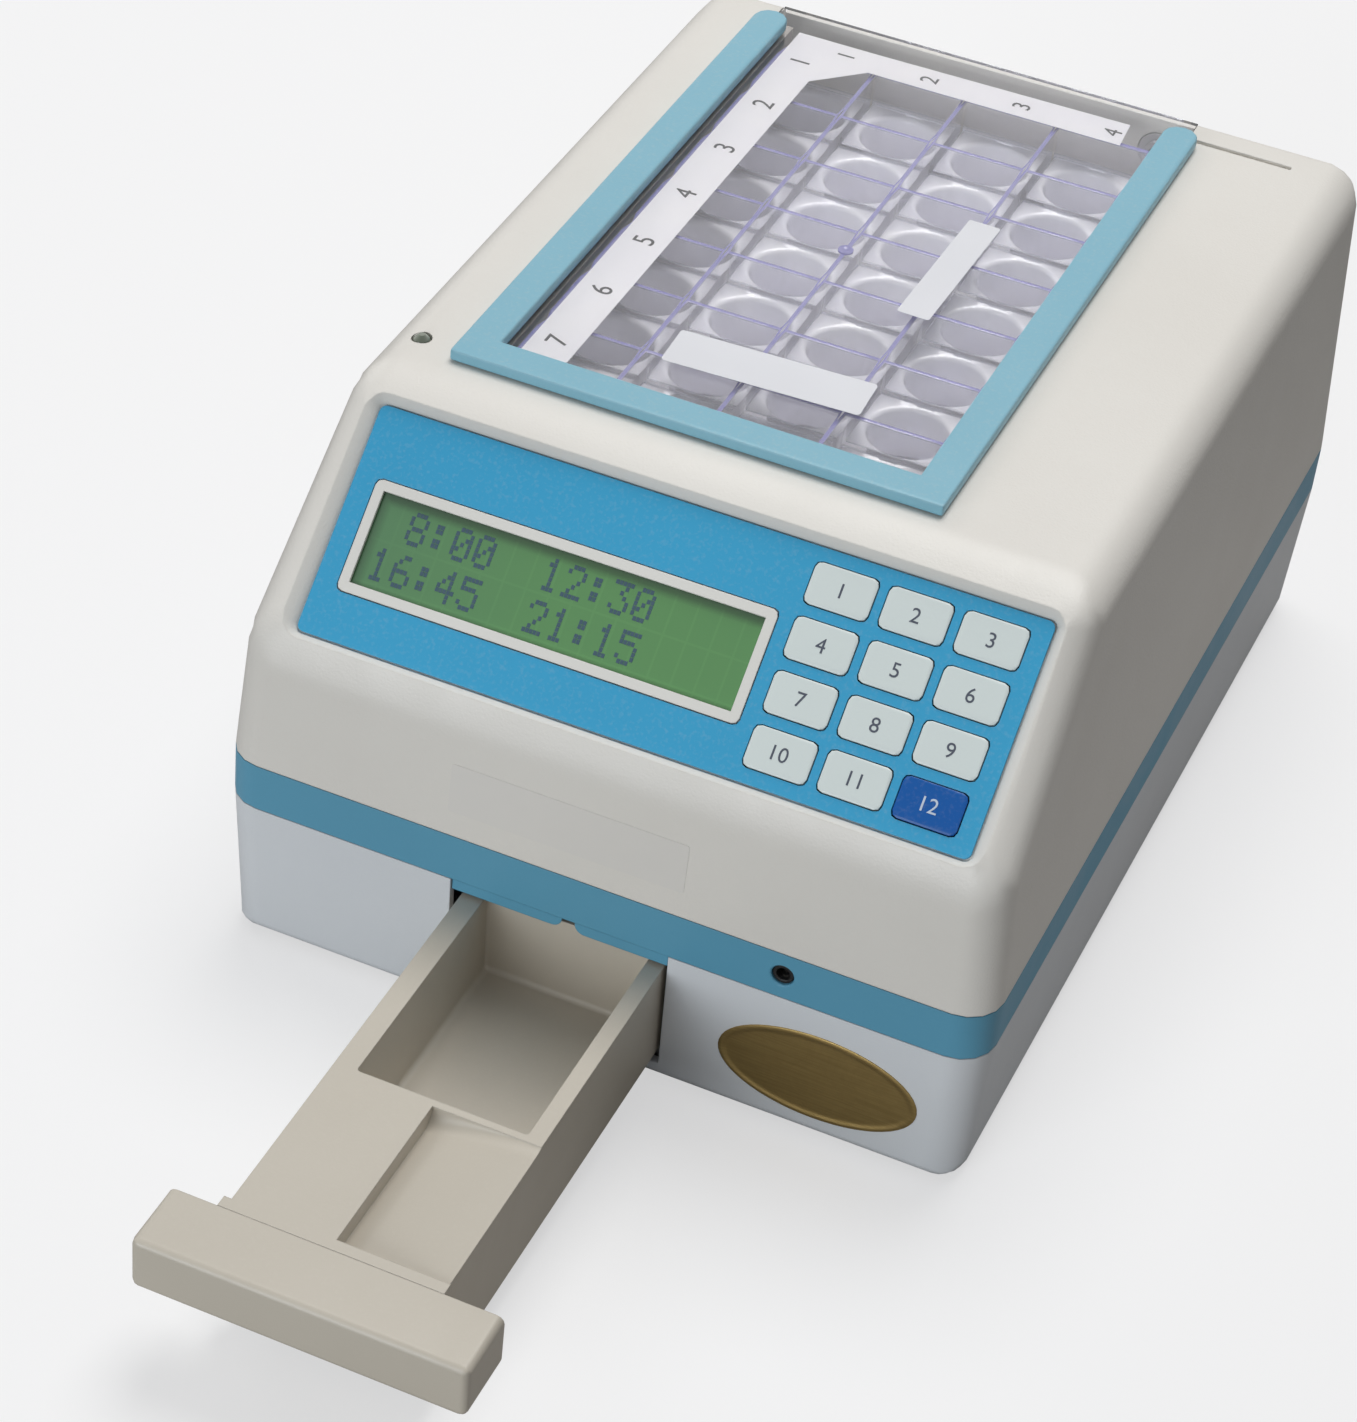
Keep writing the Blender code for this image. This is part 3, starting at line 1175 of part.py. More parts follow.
def make_drive(root):
    gear = bmesh.new()
    prism(gear, gear_outline(GEAR_TEETH, 0.0), GEAR_X, GEAR_X + GEAR_FACE, "X")
    wheel = add_piece("drive_gear", gear, root, "gear", (0, ROLLER_Y, ROLLER_Z))
    bore = cylinder(
        bmesh.new(), (0, 0), AXLE_RADIUS + GAP, GEAR_X - OVERRUN, GEAR_X + GEAR_FACE + OVERRUN, "X"
    )
    cut(wheel, add_cutter("gear_bore", bore, root, (0, ROLLER_Y, ROLLER_Z)))

    # A tooth gap of the pinion faces the wheel's tooth on the line between their centres.
    phase = math.pi + math.pi / PINION_TEETH
    pinion = bmesh.new()
    prism(pinion, gear_outline(PINION_TEETH, phase), GEAR_X, GEAR_X + GEAR_FACE, "X")
    small = add_piece("motor_pinion", pinion, root, "steel", (0, PINION_Y, ROLLER_Z))
    shaft = cylinder(
        bmesh.new(), (0, 0), PINION_SHAFT_RADIUS, GEAR_X + GEAR_FACE / 2,
        MOTOR_X + PINION_SHAFT_LENGTH, "X", SMALL_CIRCLE_STEPS,
    )
    join(small, add_cutter("pinion_shaft", shaft, root, (0, PINION_Y, ROLLER_Z)))

    centre_y = PINION_Y + GEARBOX_SHIFT
    half_y = GEARBOX_WIDTH / 2
    half_z = GEARBOX_HEIGHT / 2
    motor = add_piece(
        "gear_motor",
        box(
            bmesh.new(), (MOTOR_X, MOTOR_X + GEARBOX_LENGTH),
            (centre_y - half_y, centre_y + half_y), (ROLLER_Z - half_z, ROLLER_Z + half_z),
        ),
        root,
        "dark",
    )
    can = bmesh.new()
    can_start = MOTOR_X + GEARBOX_LENGTH / 2
    can_end = MOTOR_X + GEARBOX_LENGTH + MOTOR_LENGTH
    cylinder(can, (centre_y, ROLLER_Z), MOTOR_RADIUS, can_start, can_end, "X")
    seat = PLATE_RIGHT + FRAME_WALL + GAP
    post_y = centre_y + half_y - POST_INSET
    for side in (-1, 1):
        post_z = ROLLER_Z + side * (half_z - POST_INSET)
        cylinder(
            can, (post_y, post_z), POST_RADIUS, seat, MOTOR_X + GEARBOX_LENGTH / 4, "X",
            SMALL_CIRCLE_STEPS,
        )
    join(motor, add_cutter("motor_can", can, root))
    bore = cylinder(
        bmesh.new(), (PINION_Y, ROLLER_Z), PINION_SHAFT_RADIUS + GAP, MOTOR_X - OVERRUN,
        MOTOR_X + PINION_SHAFT_LENGTH + GAP, "X", SMALL_CIRCLE_STEPS,
    )
    cut(motor, add_cutter("motor_bore", bore, root))


def make_frame(root):
    """Frame under the bay: two side plates with flanges, ledges and bearings, and two cross bars."""
    outer_left = PLATE_LEFT - FRAME_WALL
    outer_right = PLATE_RIGHT + FRAME_WALL
    outline = [
        (FRAME_FRONT, FRAME_BOTTOM),
        (FRAME_FOOT_REAR, FRAME_BOTTOM),
        (FRAME_FOOT_REAR, FRAME_LUG_BOTTOM),
        (FRAME_LUG_REAR, FRAME_LUG_BOTTOM),
        (FRAME_LUG_REAR, FRAME_LUG_TOP),
        (FRAME_REAR, FRAME_LUG_TOP),
        (FRAME_REAR, FRAME_TOP),
        (FRAME_NOSE_BACK, FRAME_TOP),
        (FRAME_NOSE_BACK, FRAME_NOSE_TOP + FRAME_NOSE_BACK - FRAME_FRONT),
        (FRAME_FRONT, FRAME_NOSE_TOP),
    ]
    plates = bmesh.new()
    prism(plates, outline, outer_left, PLATE_LEFT, "X")
    prism(plates, outline, PLATE_RIGHT, outer_right, "X")
    frame = add_piece("bay_frame", plates, root, "gear")

    root_in = FRAME_WALL / 2
    bars = bmesh.new()
    across = (PLATE_LEFT - root_in, PLATE_RIGHT + root_in)
    bar_bottom = LEDGE_TOP - FRAME_BAR_HEIGHT
    box(bars, across, (FRAME_FRONT + GAP, FRAME_FRONT + FRAME_WALL), (bar_bottom, LEDGE_TOP))
    box(bars, across, (FRAME_REAR - FRAME_WALL, FRAME_REAR - GAP), (bar_bottom, LEDGE_TOP))
    join(frame, add_cutter("frame_bars", bars, root))

    ledges = bmesh.new()
    ledge_y = (ROLLER_Y + WRAP_RADIUS + FRAME_WALL, FRAME_REAR - root_in)
    ledge_z = (LEDGE_TOP - FRAME_LEDGE_HEIGHT, LEDGE_TOP - GAP)
    box(ledges, (PLATE_LEFT - root_in, PLATE_LEFT + FRAME_LEDGE), ledge_y, ledge_z)
    box(ledges, (PLATE_RIGHT - FRAME_LEDGE, PLATE_RIGHT + root_in), ledge_y, ledge_z)
    join(frame, add_cutter("frame_ledges", ledges, root))

    flanges = bmesh.new()
    flange_y = (FRAME_NOSE_BACK + GAP, FRAME_REAR - GAP)
    flange_z = (FRAME_TOP - FRAME_WALL, FRAME_TOP - GAP / 3)
    box(flanges, (outer_left - FRAME_FLANGE, outer_left + root_in), flange_y, flange_z)
    box(flanges, (outer_right - root_in, outer_right + FRAME_FLANGE), flange_y, flange_z)
    join(frame, add_cutter("frame_flanges", flanges, root))

    bores = bmesh.new()
    for start, end in (
        (outer_left - OVERRUN, PLATE_LEFT + OVERRUN / 2),
        (PLATE_RIGHT - OVERRUN / 2, outer_right + OVERRUN),
    ):
        cylinder(
            bores, (ROLLER_Y, ROLLER_Z), AXLE_RADIUS + BEARING_CLEARANCE, start, end, "X"
        )
        cylinder(
            bores, (DOOR_AXIS_Y, DOOR_AXIS_Z), DOOR_PIN_RADIUS + GAP, start, end, "X",
            SMALL_CIRCLE_STEPS,
        )
    cut(frame, add_cutter("frame_bores", bores, root))


def make_chute(root):
    """Funnel from the tray's outlets to the drawer's well, standing in the deck's opening."""
    outer_rings = []
    inner_rings = []
    top_x = (PLATE_LEFT + CHUTE_SIDE_MARGIN, PLATE_RIGHT - CHUTE_SIDE_MARGIN)
    top_y = (CHUTE_FRONT, CHUTE_REAR)
    neck_x = (DRAWER_X - OUTLET_WIDTH / 2, DRAWER_X + OUTLET_WIDTH / 2)
    neck_y = (OUTLET_FRONT, OUTLET_REAR)
    neck_z = DECK_TOP + GAP + CHUTE_COLLAR_HEIGHT
    outlet_z = DECK_TOP - DECK_THICKNESS - OUTLET_DROP
    for x, y, z in (
        (neck_x, neck_y, outlet_z),
        (neck_x, neck_y, neck_z),
        (top_x, top_y, CHUTE_TOP),
    ):
        wall = CHUTE_WALL
        inner_rings.append([(a, b, z) for a, b in rectangle(x, y)])
        outer = rectangle((x[0] - wall, x[1] + wall), (y[0] - wall, y[1] + wall))
        outer_rings.append([(a, b, z) for a, b in outer])
    chute = add_piece(
        "chute", loft(bmesh.new(), outer_rings + inner_rings[::-1], closed=True), root, "film"
    )
    collar = bmesh.new()
    edge = CHUTE_COLLAR
    rings = []
    for grow, z in (
        (edge, DECK_TOP + GAP),
        (edge, neck_z),
        (CHUTE_WALL / 2, neck_z),
        (CHUTE_WALL / 2, DECK_TOP + GAP),
    ):
        ring = rectangle((neck_x[0] - grow, neck_x[1] + grow), (neck_y[0] - grow, neck_y[1] + grow))
        rings.append([(a, b, z) for a, b in ring])
    loft(collar, rings, closed=True)
    join(chute, add_cutter("chute_collar", collar, root))


def make_door(root):
    """Rear door on a long pin at its foot, with a key lock whose cam turns behind it."""
    inner_y = DOOR_OUTER_Y - DOOR_THICKNESS
    axis = (DOOR_AXIS_Y, DOOR_AXIS_Z)
    at = (0, DOOR_AXIS_Y, DOOR_AXIS_Z)
    plate = [
        (DOOR_OUTER_Y - axis[0], DOOR_BOTTOM - axis[1]),
        (DOOR_OUTER_Y - axis[0], DOOR_TOP - axis[1]),
        (inner_y - axis[0], DOOR_TOP - axis[1]),
        (inner_y - axis[0], DOOR_BOTTOM - axis[1]),
    ]
    door = add_piece(
        "rear_door", prism(bmesh.new(), plate, DOOR_LEFT, DOOR_RIGHT, "X"), root, "cream", at
    )
    hinge = bmesh.new()
    barrel_left = PLATE_LEFT + DOOR_BARREL_END_GAP
    barrel_right = PLATE_RIGHT - DOOR_BARREL_END_GAP
    half_web = DOOR_WEB / 2
    radius = DOOR_BARREL_RADIUS
    opening = math.asin(half_web / radius)
    outline = arc((0, 0), radius, opening, 2 * math.pi - opening, 14)
    web_end = inner_y - axis[0] + DOOR_THICKNESS / 2
    outline += [(web_end, -half_web), (web_end, half_web)]
    prism(hinge, outline, barrel_left, barrel_right, "X")
    join(door, add_cutter("door_barrel", hinge, root, at))
    holes = bmesh.new()
    cylinder(
        holes, (0, 0), DOOR_PIN_RADIUS + GAP, barrel_left - OVERRUN, barrel_right + OVERRUN, "X",
        SMALL_CIRCLE_STEPS,
    )
    cylinder(
        holes, (LOCK_X, LOCK_Z - axis[1]), LOCK_RADIUS + GAP,
        inner_y - axis[0] - OVERRUN, DOOR_OUTER_Y - axis[0] + OVERRUN, "Y",
    )
    cut(door, add_cutter("door_holes", holes, root, at))

    pin = cylinder(
        bmesh.new(), (0, 0), DOOR_PIN_RADIUS, PLATE_LEFT - FRAME_WALL, PLATE_RIGHT + FRAME_WALL,
        "X", SMALL_CIRCLE_STEPS,
    )
    add_piece("door_pin", pin, root, "steel", at)

    head = DOOR_OUTER_Y + GAP
    neck_end = inner_y - GAP - CAM_THICKNESS
    rings = []
    for y, radius in (
        (neck_end, LOCK_NECK),
        (inner_y - GAP, LOCK_NECK),
        (inner_y - GAP, LOCK_RADIUS),
        (head, LOCK_RADIUS),
        (head, LOCK_HEAD_RADIUS),
        (head + LOCK_HEAD_THICKNESS, LOCK_HEAD_RADIUS - LOCK_HEAD_THICKNESS / 2),
    ):
        rings.append([(x, y - DOOR_OUTER_Y, z) for x, z in circle((0, 0), radius)])
    at_lock = (LOCK_X, DOOR_OUTER_Y, LOCK_Z)
    lock = add_piece("lock_cylinder", loft(bmesh.new(), rings), root, "steel", at_lock)
    face = head + LOCK_HEAD_THICKNESS - DOOR_OUTER_Y
    keyway = box(
        bmesh.new(), (-KEYWAY_WIDTH / 2, KEYWAY_WIDTH / 2), (face - KEYWAY_DEPTH, face + OVERRUN),
        (-KEYWAY_HEIGHT / 2, KEYWAY_HEIGHT / 2),
    )
    cut(lock, add_cutter("keyway", keyway, root, at_lock))

    half = CAM_WIDTH / 2
    outline = arc((0, 0), half, 0, math.pi, 8)
    outline += arc((0, -CAM_LENGTH + half), half, math.pi, 2 * math.pi, 8)
    cam_front = inner_y - GAP - CAM_THICKNESS - DOOR_OUTER_Y
    cam_back = cam_front + CAM_THICKNESS
    cam = add_piece(
        "lock_cam", prism(bmesh.new(), outline, cam_front, cam_back - GAP, "Y"), root, "steel",
        at_lock,
    )
    bore = cylinder(
        bmesh.new(), (0, 0), LOCK_NECK + GAP, cam_front - OVERRUN, cam_back + OVERRUN, "Y"
    )
    cut(cam, add_cutter("cam_bore", bore, root, at_lock))


def make_drawer(root):
    """Pill drawer: deep well behind, deck with a side scoop in front, runners' tail at the back."""
    front = DRAWER_FRONT_Y + GAP
    fascia_left = DRAWER_OPENING_LEFT + FASCIA_CLEARANCE
    fascia_right = DRAWER_OPENING_RIGHT - FASCIA_CLEARANCE
    outline = [
        (fascia_left, front),
        (fascia_right, front),
        (fascia_right, FASCIA_REAR),
        (DRAWER_RIGHT, FASCIA_REAR),
        (DRAWER_RIGHT, DRAWER_REAR),
        (DRAWER_LEFT, DRAWER_REAR),
        (DRAWER_LEFT, FASCIA_REAR),
        (fascia_left, FASCIA_REAR),
    ]
    drawer = add_piece(
        "drawer_body", prism(bmesh.new(), outline, DRAWER_BOTTOM, DRAWER_TOP, "Z"), root, "beige"
    )
    above = DRAWER_TOP + OVERRUN
    well_x = (DRAWER_LEFT + DRAWER_LEFT_WALL, DRAWER_RIGHT - DRAWER_RIGHT_WALL)
    well_y = (WELL_FRONT, WELL_REAR)
    well = bmesh.new()
    rings = []
    for out_share, up_share in WELL_FILLET_SHARES:
        inset = WELL_DRAFT + WELL_FLOOR_RADIUS * out_share
        x = (well_x[0] + inset, well_x[1] - inset)
        y = (well_y[0] + inset, well_y[1] - inset)
        z = WELL_FLOOR + WELL_FLOOR_RADIUS * up_share
        rings.append([(a, b, z) for a, b in rounded_rectangle(x, y, WELL_RADIUS, 3)])
    rings.append([(a, b, DRAWER_TOP) for a, b in rounded_rectangle(well_x, well_y, WELL_RADIUS, 3)])
    rings.append([(a, b, above) for a, b, z in rings[-1]])
    loft(well, rings)
    tail_x = (DRAWER_LEFT + TAIL_WALL, DRAWER_RIGHT - TAIL_WALL)
    tail_y = (WELL_REAR + WELL_BACK_WALL, DRAWER_REAR + OVERRUN)
    box(well, tail_x, tail_y, (DRAWER_BOTTOM + DRAWER_FLOOR, above))
    cut(drawer, add_cutter("drawer_well", well, root))

    step_x = DRAWER_X + SCOOP_STEP
    edge_x = DRAWER_RIGHT + GAP
    scoop_rear = WELL_FRONT - SCOOP_STRIP
    levels = [(FASCIA_REAR, 1.0)]
    for i in range(SCOOP_STEPS):
        angle = math.pi / 2 * i / SCOOP_STEPS
        levels.append((scoop_rear - SCOOP_END_RADIUS * (1 - math.sin(angle)), math.cos(angle)))
    levels.append((scoop_rear, levels[-1][1] / 2))
    rings = []
    for y, end_share in levels:
        ring = [(step_x, y, above)]
        for i in range(SCOOP_STEPS + 1):
            share = i / SCOOP_STEPS
            fall = (SCOOP_DEPTH - SCOOP_EDGE_DEPTH) * (1 - share) ** SCOOP_CURVE_SHARE
            z = DRAWER_TOP - (SCOOP_EDGE_DEPTH + fall) * end_share
            ring.append((step_x + (edge_x - step_x) * share, y, z))
        ring.append((edge_x + OVERRUN, y, ring[-1][2]))
        ring.append((edge_x + OVERRUN, y, above))
        rings.append(ring)
    scoop = loft(bmesh.new(), rings)
    cut(drawer, add_cutter("drawer_scoop", scoop, root))

    hollows = bmesh.new()
    skirt_x = (DRAWER_LEFT + TAIL_WALL, DRAWER_RIGHT - TAIL_WALL)
    below = DRAWER_BOTTOM - OVERRUN
    deck_floor = DRAWER_TOP - SCOOP_DEPTH - DRAWER_FLOOR
    box(hollows, skirt_x, (FASCIA_REAR, WELL_FRONT - SCOOP_STRIP), (below, deck_floor))
    box(
        hollows, skirt_x, (WELL_FRONT, WELL_REAR - WELL_BACK_WALL),
        (below, WELL_FLOOR - DRAWER_FLOOR),
    )
    cut(drawer, add_cutter("drawer_hollows", hollows, root))

    centre = (DRAWER_OPENING_LEFT + DRAWER_OPENING_RIGHT) / 2 + HANDLE_OFFSET
    handle = add_piece(
        "drawer_front",
        handle_form(),
        root,
        "beige",
        (centre, HANDLE_Y, DRAWER_TOP),
    )
    bevel_by_weight(handle, HANDLE_RADIUS, 3)


def handle_form():
    """Grip bar, rounded all round but for the edges that meet the drawer."""
    mesh = box(
        bmesh.new(), (-HANDLE_WIDTH / 2, HANDLE_WIDTH / 2), (-HANDLE_DEPTH, 0), (-HANDLE_HEIGHT, 0)
    )
    weights = mesh.edges.layers.float.new("bevel_weight_edge")
    for edge in mesh.edges:
        at_drawer = min(vertex.co.y for vertex in edge.verts) > -GAP
        edge[weights] = 0.0 if at_drawer else 1.0
    return mesh


def make_runners(root):
    ledge_top = DRAWER_BOTTOM - GAP
    low = FLOOR_TOP + GAP
    front = -HALF_DEPTH + WALL + RUNNER_FRONT_CLEARANCE
    for name, edge, side in (
        ("drawer_runner_left", DRAWER_LEFT - RUNNER_CLEARANCE, -1),
        ("drawer_runner_right", DRAWER_RIGHT + RUNNER_CLEARANCE, 1),
    ):
        outline = [
            (edge + side * RUNNER_WALL, low),
            (edge - side * RUNNER_LEDGE, low),
            (edge - side * RUNNER_LEDGE, ledge_top),
            (edge, ledge_top),
            (edge, RUNNER_HEIGHT),
            (edge + side * RUNNER_WALL, RUNNER_HEIGHT),
        ]
        runner = prism(bmesh.new(), outline, front, front + RUNNER_LENGTH, "Y")
        add_piece(name, runner, root, "film")


def make_electronics(root):
    low = FLOOR_TOP + BOSS_HEIGHT + GAP
    top = low + BOARD_THICKNESS
    board = box(
        bmesh.new(),
        (BOARD_X - BOARD_WIDTH / 2, BOARD_X + BOARD_WIDTH / 2),
        (BOARD_Y - BOARD_DEPTH / 2, BOARD_Y + BOARD_DEPTH / 2),
        (low, top),
    )
    add_piece("main_board", board, root, "board")

    rings = []
    low = top + GAP
    high = low + BUZZER_HEIGHT
    for z, radius in (
        (low, BUZZER_RADIUS),
        (high, BUZZER_RADIUS),
        (high, BUZZER_HOLE_RADIUS),
        (high - BUZZER_HEIGHT / 2, BUZZER_HOLE_RADIUS),
    ):
        rings.append([(x, y, z) for x, y in circle((BUZZER_X, BUZZER_Y), radius)])
    add_piece("buzzer", loft(bmesh.new(), rings), root, "dark")

    battery = box(
        bmesh.new(),
        (BATTERY_X - BATTERY_WIDTH / 2, BATTERY_X + BATTERY_WIDTH / 2),
        (BATTERY_Y - BATTERY_LENGTH / 2, BATTERY_Y + BATTERY_LENGTH / 2),
        (FLOOR_TOP + GAP, FLOOR_TOP + GAP + BATTERY_HEIGHT),
    )
    pack = add_piece("battery_pack", battery, root, "dark")
    bevel(pack, BATTERY_EDGE, 2)

    face = HALF_DEPTH - BASE_INSET / 2
    start = face - INLET_LENGTH
    socket = bmesh.new()
    rings = []
    for y, radius in (
        (start, INLET_RADIUS),
        (face, INLET_RADIUS),
        (face, INLET_BORE_RADIUS),
        (start + WALL, INLET_BORE_RADIUS),
        (start + WALL, INLET_PIN_RADIUS),
        (face - WALL / 2, INLET_PIN_RADIUS),
    ):
        rings.append([(x, y, z) for x, z in circle((INLET_X, INLET_Z), radius)])
    add_piece("power_inlet", loft(socket, rings), root, "dark")


def make_feet(root):
    reach_x = HALF_WIDTH - BASE_INSET - FOOT_EDGE_DISTANCE
    reach_y = HALF_DEPTH - BASE_INSET - FOOT_EDGE_DISTANCE
    number = 1
    for sign_y in (-1, 1):
        for sign_x in (-1, 1):
            foot = cylinder(bmesh.new(), (0, 0), FOOT_RADIUS, 0, FOOT_HEIGHT - GAP, "Z")
            add_piece(
                "foot_%d" % number, foot, root, "rubber", (sign_x * reach_x, sign_y * reach_y, 0)
            )
            number += 1


def main():
    clear_scene()
    root = make_root()
    console = make_console_frame(root)
    make_base(root)
    make_band(root)
    make_top(root, console)
    make_console(console)
    make_lamp_and_jack(root)
    make_window(root)
    make_tray(root)
    make_shutter(root)
    make_drive(root)
    make_frame(root)
    make_chute(root)
    make_door(root)
    make_drawer(root)
    make_runners(root)
    make_electronics(root)
    make_feet(root)


main()
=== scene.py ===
import math

import bmesh
import bpy
from mathutils import Matrix, Vector


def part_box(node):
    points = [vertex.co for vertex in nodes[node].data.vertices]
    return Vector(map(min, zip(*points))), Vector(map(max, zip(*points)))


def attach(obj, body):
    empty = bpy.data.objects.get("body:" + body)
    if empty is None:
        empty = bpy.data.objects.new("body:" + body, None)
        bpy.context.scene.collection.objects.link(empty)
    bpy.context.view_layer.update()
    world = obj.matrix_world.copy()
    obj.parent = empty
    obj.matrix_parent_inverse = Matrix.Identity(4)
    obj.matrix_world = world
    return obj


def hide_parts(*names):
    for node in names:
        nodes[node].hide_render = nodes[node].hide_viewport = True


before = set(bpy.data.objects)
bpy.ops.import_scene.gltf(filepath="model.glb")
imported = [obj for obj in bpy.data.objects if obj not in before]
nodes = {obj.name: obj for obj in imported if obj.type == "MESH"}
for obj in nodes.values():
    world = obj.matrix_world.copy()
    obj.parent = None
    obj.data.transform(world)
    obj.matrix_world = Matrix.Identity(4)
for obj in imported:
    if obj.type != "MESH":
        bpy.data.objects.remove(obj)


bpy.context.view_layer.update()
scene = bpy.context.scene
scene.view_settings.view_transform = "Standard"


def linear(red, green, blue):
    # from the 0 to 255 values a picture shows
    values = []
    for part in (red, green, blue):
        share = part / 255
        values.append(share / 12.92 if share <= 0.04045 else ((share + 0.055) / 1.055) ** 2.4)
    return tuple(values) + (1.0,)


# node helpers

def addNode(tree, kind, inputs=None, **settings):
    node = tree.nodes.new(kind)
    for name, value in settings.items():
        setattr(node, name, value)
    for name, value in (inputs or {}).items():
        node.inputs[name].default_value = value
    return node


def link(tree, output, target):
    tree.links.new(output, target)


def mathNode(tree, operation, first, second):
    node = addNode(tree, "ShaderNodeMath", operation=operation)
    for socket, value in zip(node.inputs, (first, second)):
        if isinstance(value, (int, float)):
            socket.default_value = value
        else:
            link(tree, value, socket)
    return node.outputs["Value"]


def mixColour(tree, factor, first, second):
    node = addNode(tree, "ShaderNodeMix", data_type="RGBA")
    for name, kind, value in (("Factor", "VALUE", factor), ("A", "RGBA", first), ("B", "RGBA", second)):
        socket = [s for s in node.inputs if s.name == name and s.type == kind][0]
        if hasattr(value, "links"):
            link(tree, value, socket)
        else:
            socket.default_value = value
    return [s for s in node.outputs if s.type == "RGBA"][0]


def remap(tree, value, fromLow, fromHigh, toLow, toHigh):
    node = addNode(tree, "ShaderNodeMapRange", inputs={
        "From Min": fromLow, "From Max": fromHigh, "To Min": toLow, "To Max": toHigh})
    link(tree, value, node.inputs["Value"])
    return node.outputs["Result"]


def newGroup(name, inputs, outputs):
    group = bpy.data.node_groups.new(name, "ShaderNodeTree")
    for label, value in inputs.items():
        socket = group.interface.new_socket(label, in_out="INPUT", socket_type="NodeSocketFloat")
        socket.default_value = value
    for label, kind in outputs.items():
        group.interface.new_socket(label, in_out="OUTPUT", socket_type="NodeSocket" + kind)
    return group, group.nodes.new("NodeGroupInput"), group.nodes.new("NodeGroupOutput")


# shared surface effects

def buildGrain():
    # the fine spark-eroded texture of a moulded housing, and slow tone changes across it
    group, source, sink = newGroup("mouldGrain", {"Scale": 1500.0}, {"Height": "Float", "Tone": "Float"})
    place = addNode(group, "ShaderNodeTexCoord").outputs["Object"]
    noise = addNode(group, "ShaderNodeTexNoise", inputs={"Detail": 3.0, "Roughness": 0.6})
    cells = addNode(group, "ShaderNodeTexVoronoi", feature="SMOOTH_F1", inputs={"Smoothness": 0.6})
    tone = addNode(group, "ShaderNodeTexNoise", inputs={"Scale": 9.0, "Detail": 4.0, "Roughness": 0.55})
    for node in (noise, cells, tone):
        link(group, place, node.inputs["Vector"])
    link(group, source.outputs["Scale"], noise.inputs["Scale"])
    link(group, mathNode(group, "MULTIPLY", source.outputs["Scale"], 0.7), cells.inputs["Scale"])
    pits = mathNode(group, "MULTIPLY", cells.outputs["Distance"], 0.6)
    link(group, mathNode(group, "ADD", noise.outputs[0], pits), sink.inputs["Height"])
    link(group, remap(group, tone.outputs[0], 0.3, 0.7, 0.0, 1.0), sink.inputs["Tone"])
    return group


def buildEdges():
    # corners rounded for light, and where handling has polished them; on the bezel this mask also carries a
    # painted highlight along its edges
    group, source, sink = newGroup("edgeWear", {"Radius": 0.0005}, {"Edge": "Float", "Normal": "Vector"})
    bevel = addNode(group, "ShaderNodeBevel", samples=4)
    link(group, source.outputs["Radius"], bevel.inputs["Radius"])
    flat = addNode(group, "ShaderNodeNewGeometry").outputs["Normal"]
    dot = addNode(group, "ShaderNodeVectorMath", operation="DOT_PRODUCT")
    link(group, bevel.outputs["Normal"], dot.inputs[0])
    link(group, flat, dot.inputs[1])
    bent = mathNode(group, "SUBTRACT", 1.0, dot.outputs["Value"])
    place = addNode(group, "ShaderNodeTexCoord").outputs["Object"]
    broken = addNode(group, "ShaderNodeTexNoise", inputs={"Scale": 160.0, "Detail": 4.0})
    link(group, place, broken.inputs["Vector"])
    spots = remap(group, broken.outputs[0], 0.35, 0.65, 0.25, 1.0)
    edge = mathNode(group, "MULTIPLY", remap(group, bent, 0.02, 0.22, 0.0, 1.0), spots)
    link(group, edge, sink.inputs["Edge"])
    link(group, bevel.outputs["Normal"], sink.inputs["Normal"])
    return group


def buildHandling():
    # faint smears and dust: Smear runs 0 to 1 everywhere, Dust lies on what faces up
    group, source, sink = newGroup("handling", {"Scale": 14.0}, {"Smear": "Float", "Dust": "Float"})
    place = addNode(group, "ShaderNodeTexCoord").outputs["Object"]
    smear = addNode(group, "ShaderNodeTexNoise", inputs={"Detail": 5.0, "Roughness": 0.65, "Distortion": 1.4})
    speck = addNode(group, "ShaderNodeTexNoise", inputs={"Scale": 900.0, "Detail": 2.0})
    for node in (smear, speck):
        link(group, place, node.inputs["Vector"])
    link(group, source.outputs["Scale"], smear.inputs["Scale"])
    split = addNode(group, "ShaderNodeSeparateXYZ")
    link(group, addNode(group, "ShaderNodeNewGeometry").outputs["Normal"], split.inputs[0])
    up = remap(group, split.outputs["Z"], 0.5, 1.0, 0.0, 1.0)
    dust = mathNode(group, "MULTIPLY", up, remap(group, speck.outputs[0], 0.52, 0.75, 0.0, 1.0))
    link(group, remap(group, smear.outputs[0], 0.3, 0.72, 0.0, 1.0), sink.inputs["Smear"])
    link(group, dust, sink.inputs["Dust"])
    return group


grainGroup = buildGrain()
edgeGroup = buildEdges()
handlingGroup = buildHandling()


def useGroup(tree, group, values):
    node = tree.nodes.new("ShaderNodeGroup")
    node.node_tree = group
    for name, value in values.items():
        node.inputs[name].default_value = value
    return node


def startMaterial(name):
    material = bpy.data.materials.new(name)
    material.use_nodes = True
    tree = material.node_tree
    return material, tree, tree.nodes["Principled BSDF"]


def setPlain(shader, **values):
    # the same all over the surface, so set on the shader's own sockets
    for name, value in values.items():
        shader.inputs[plainSockets[name]].default_value = value


def smearRoughness(tree, shader, handling, low, high):
    link(tree, remap(tree, handling.outputs["Smear"], 0.0, 1.0, low, high), shader.inputs["Roughness"])


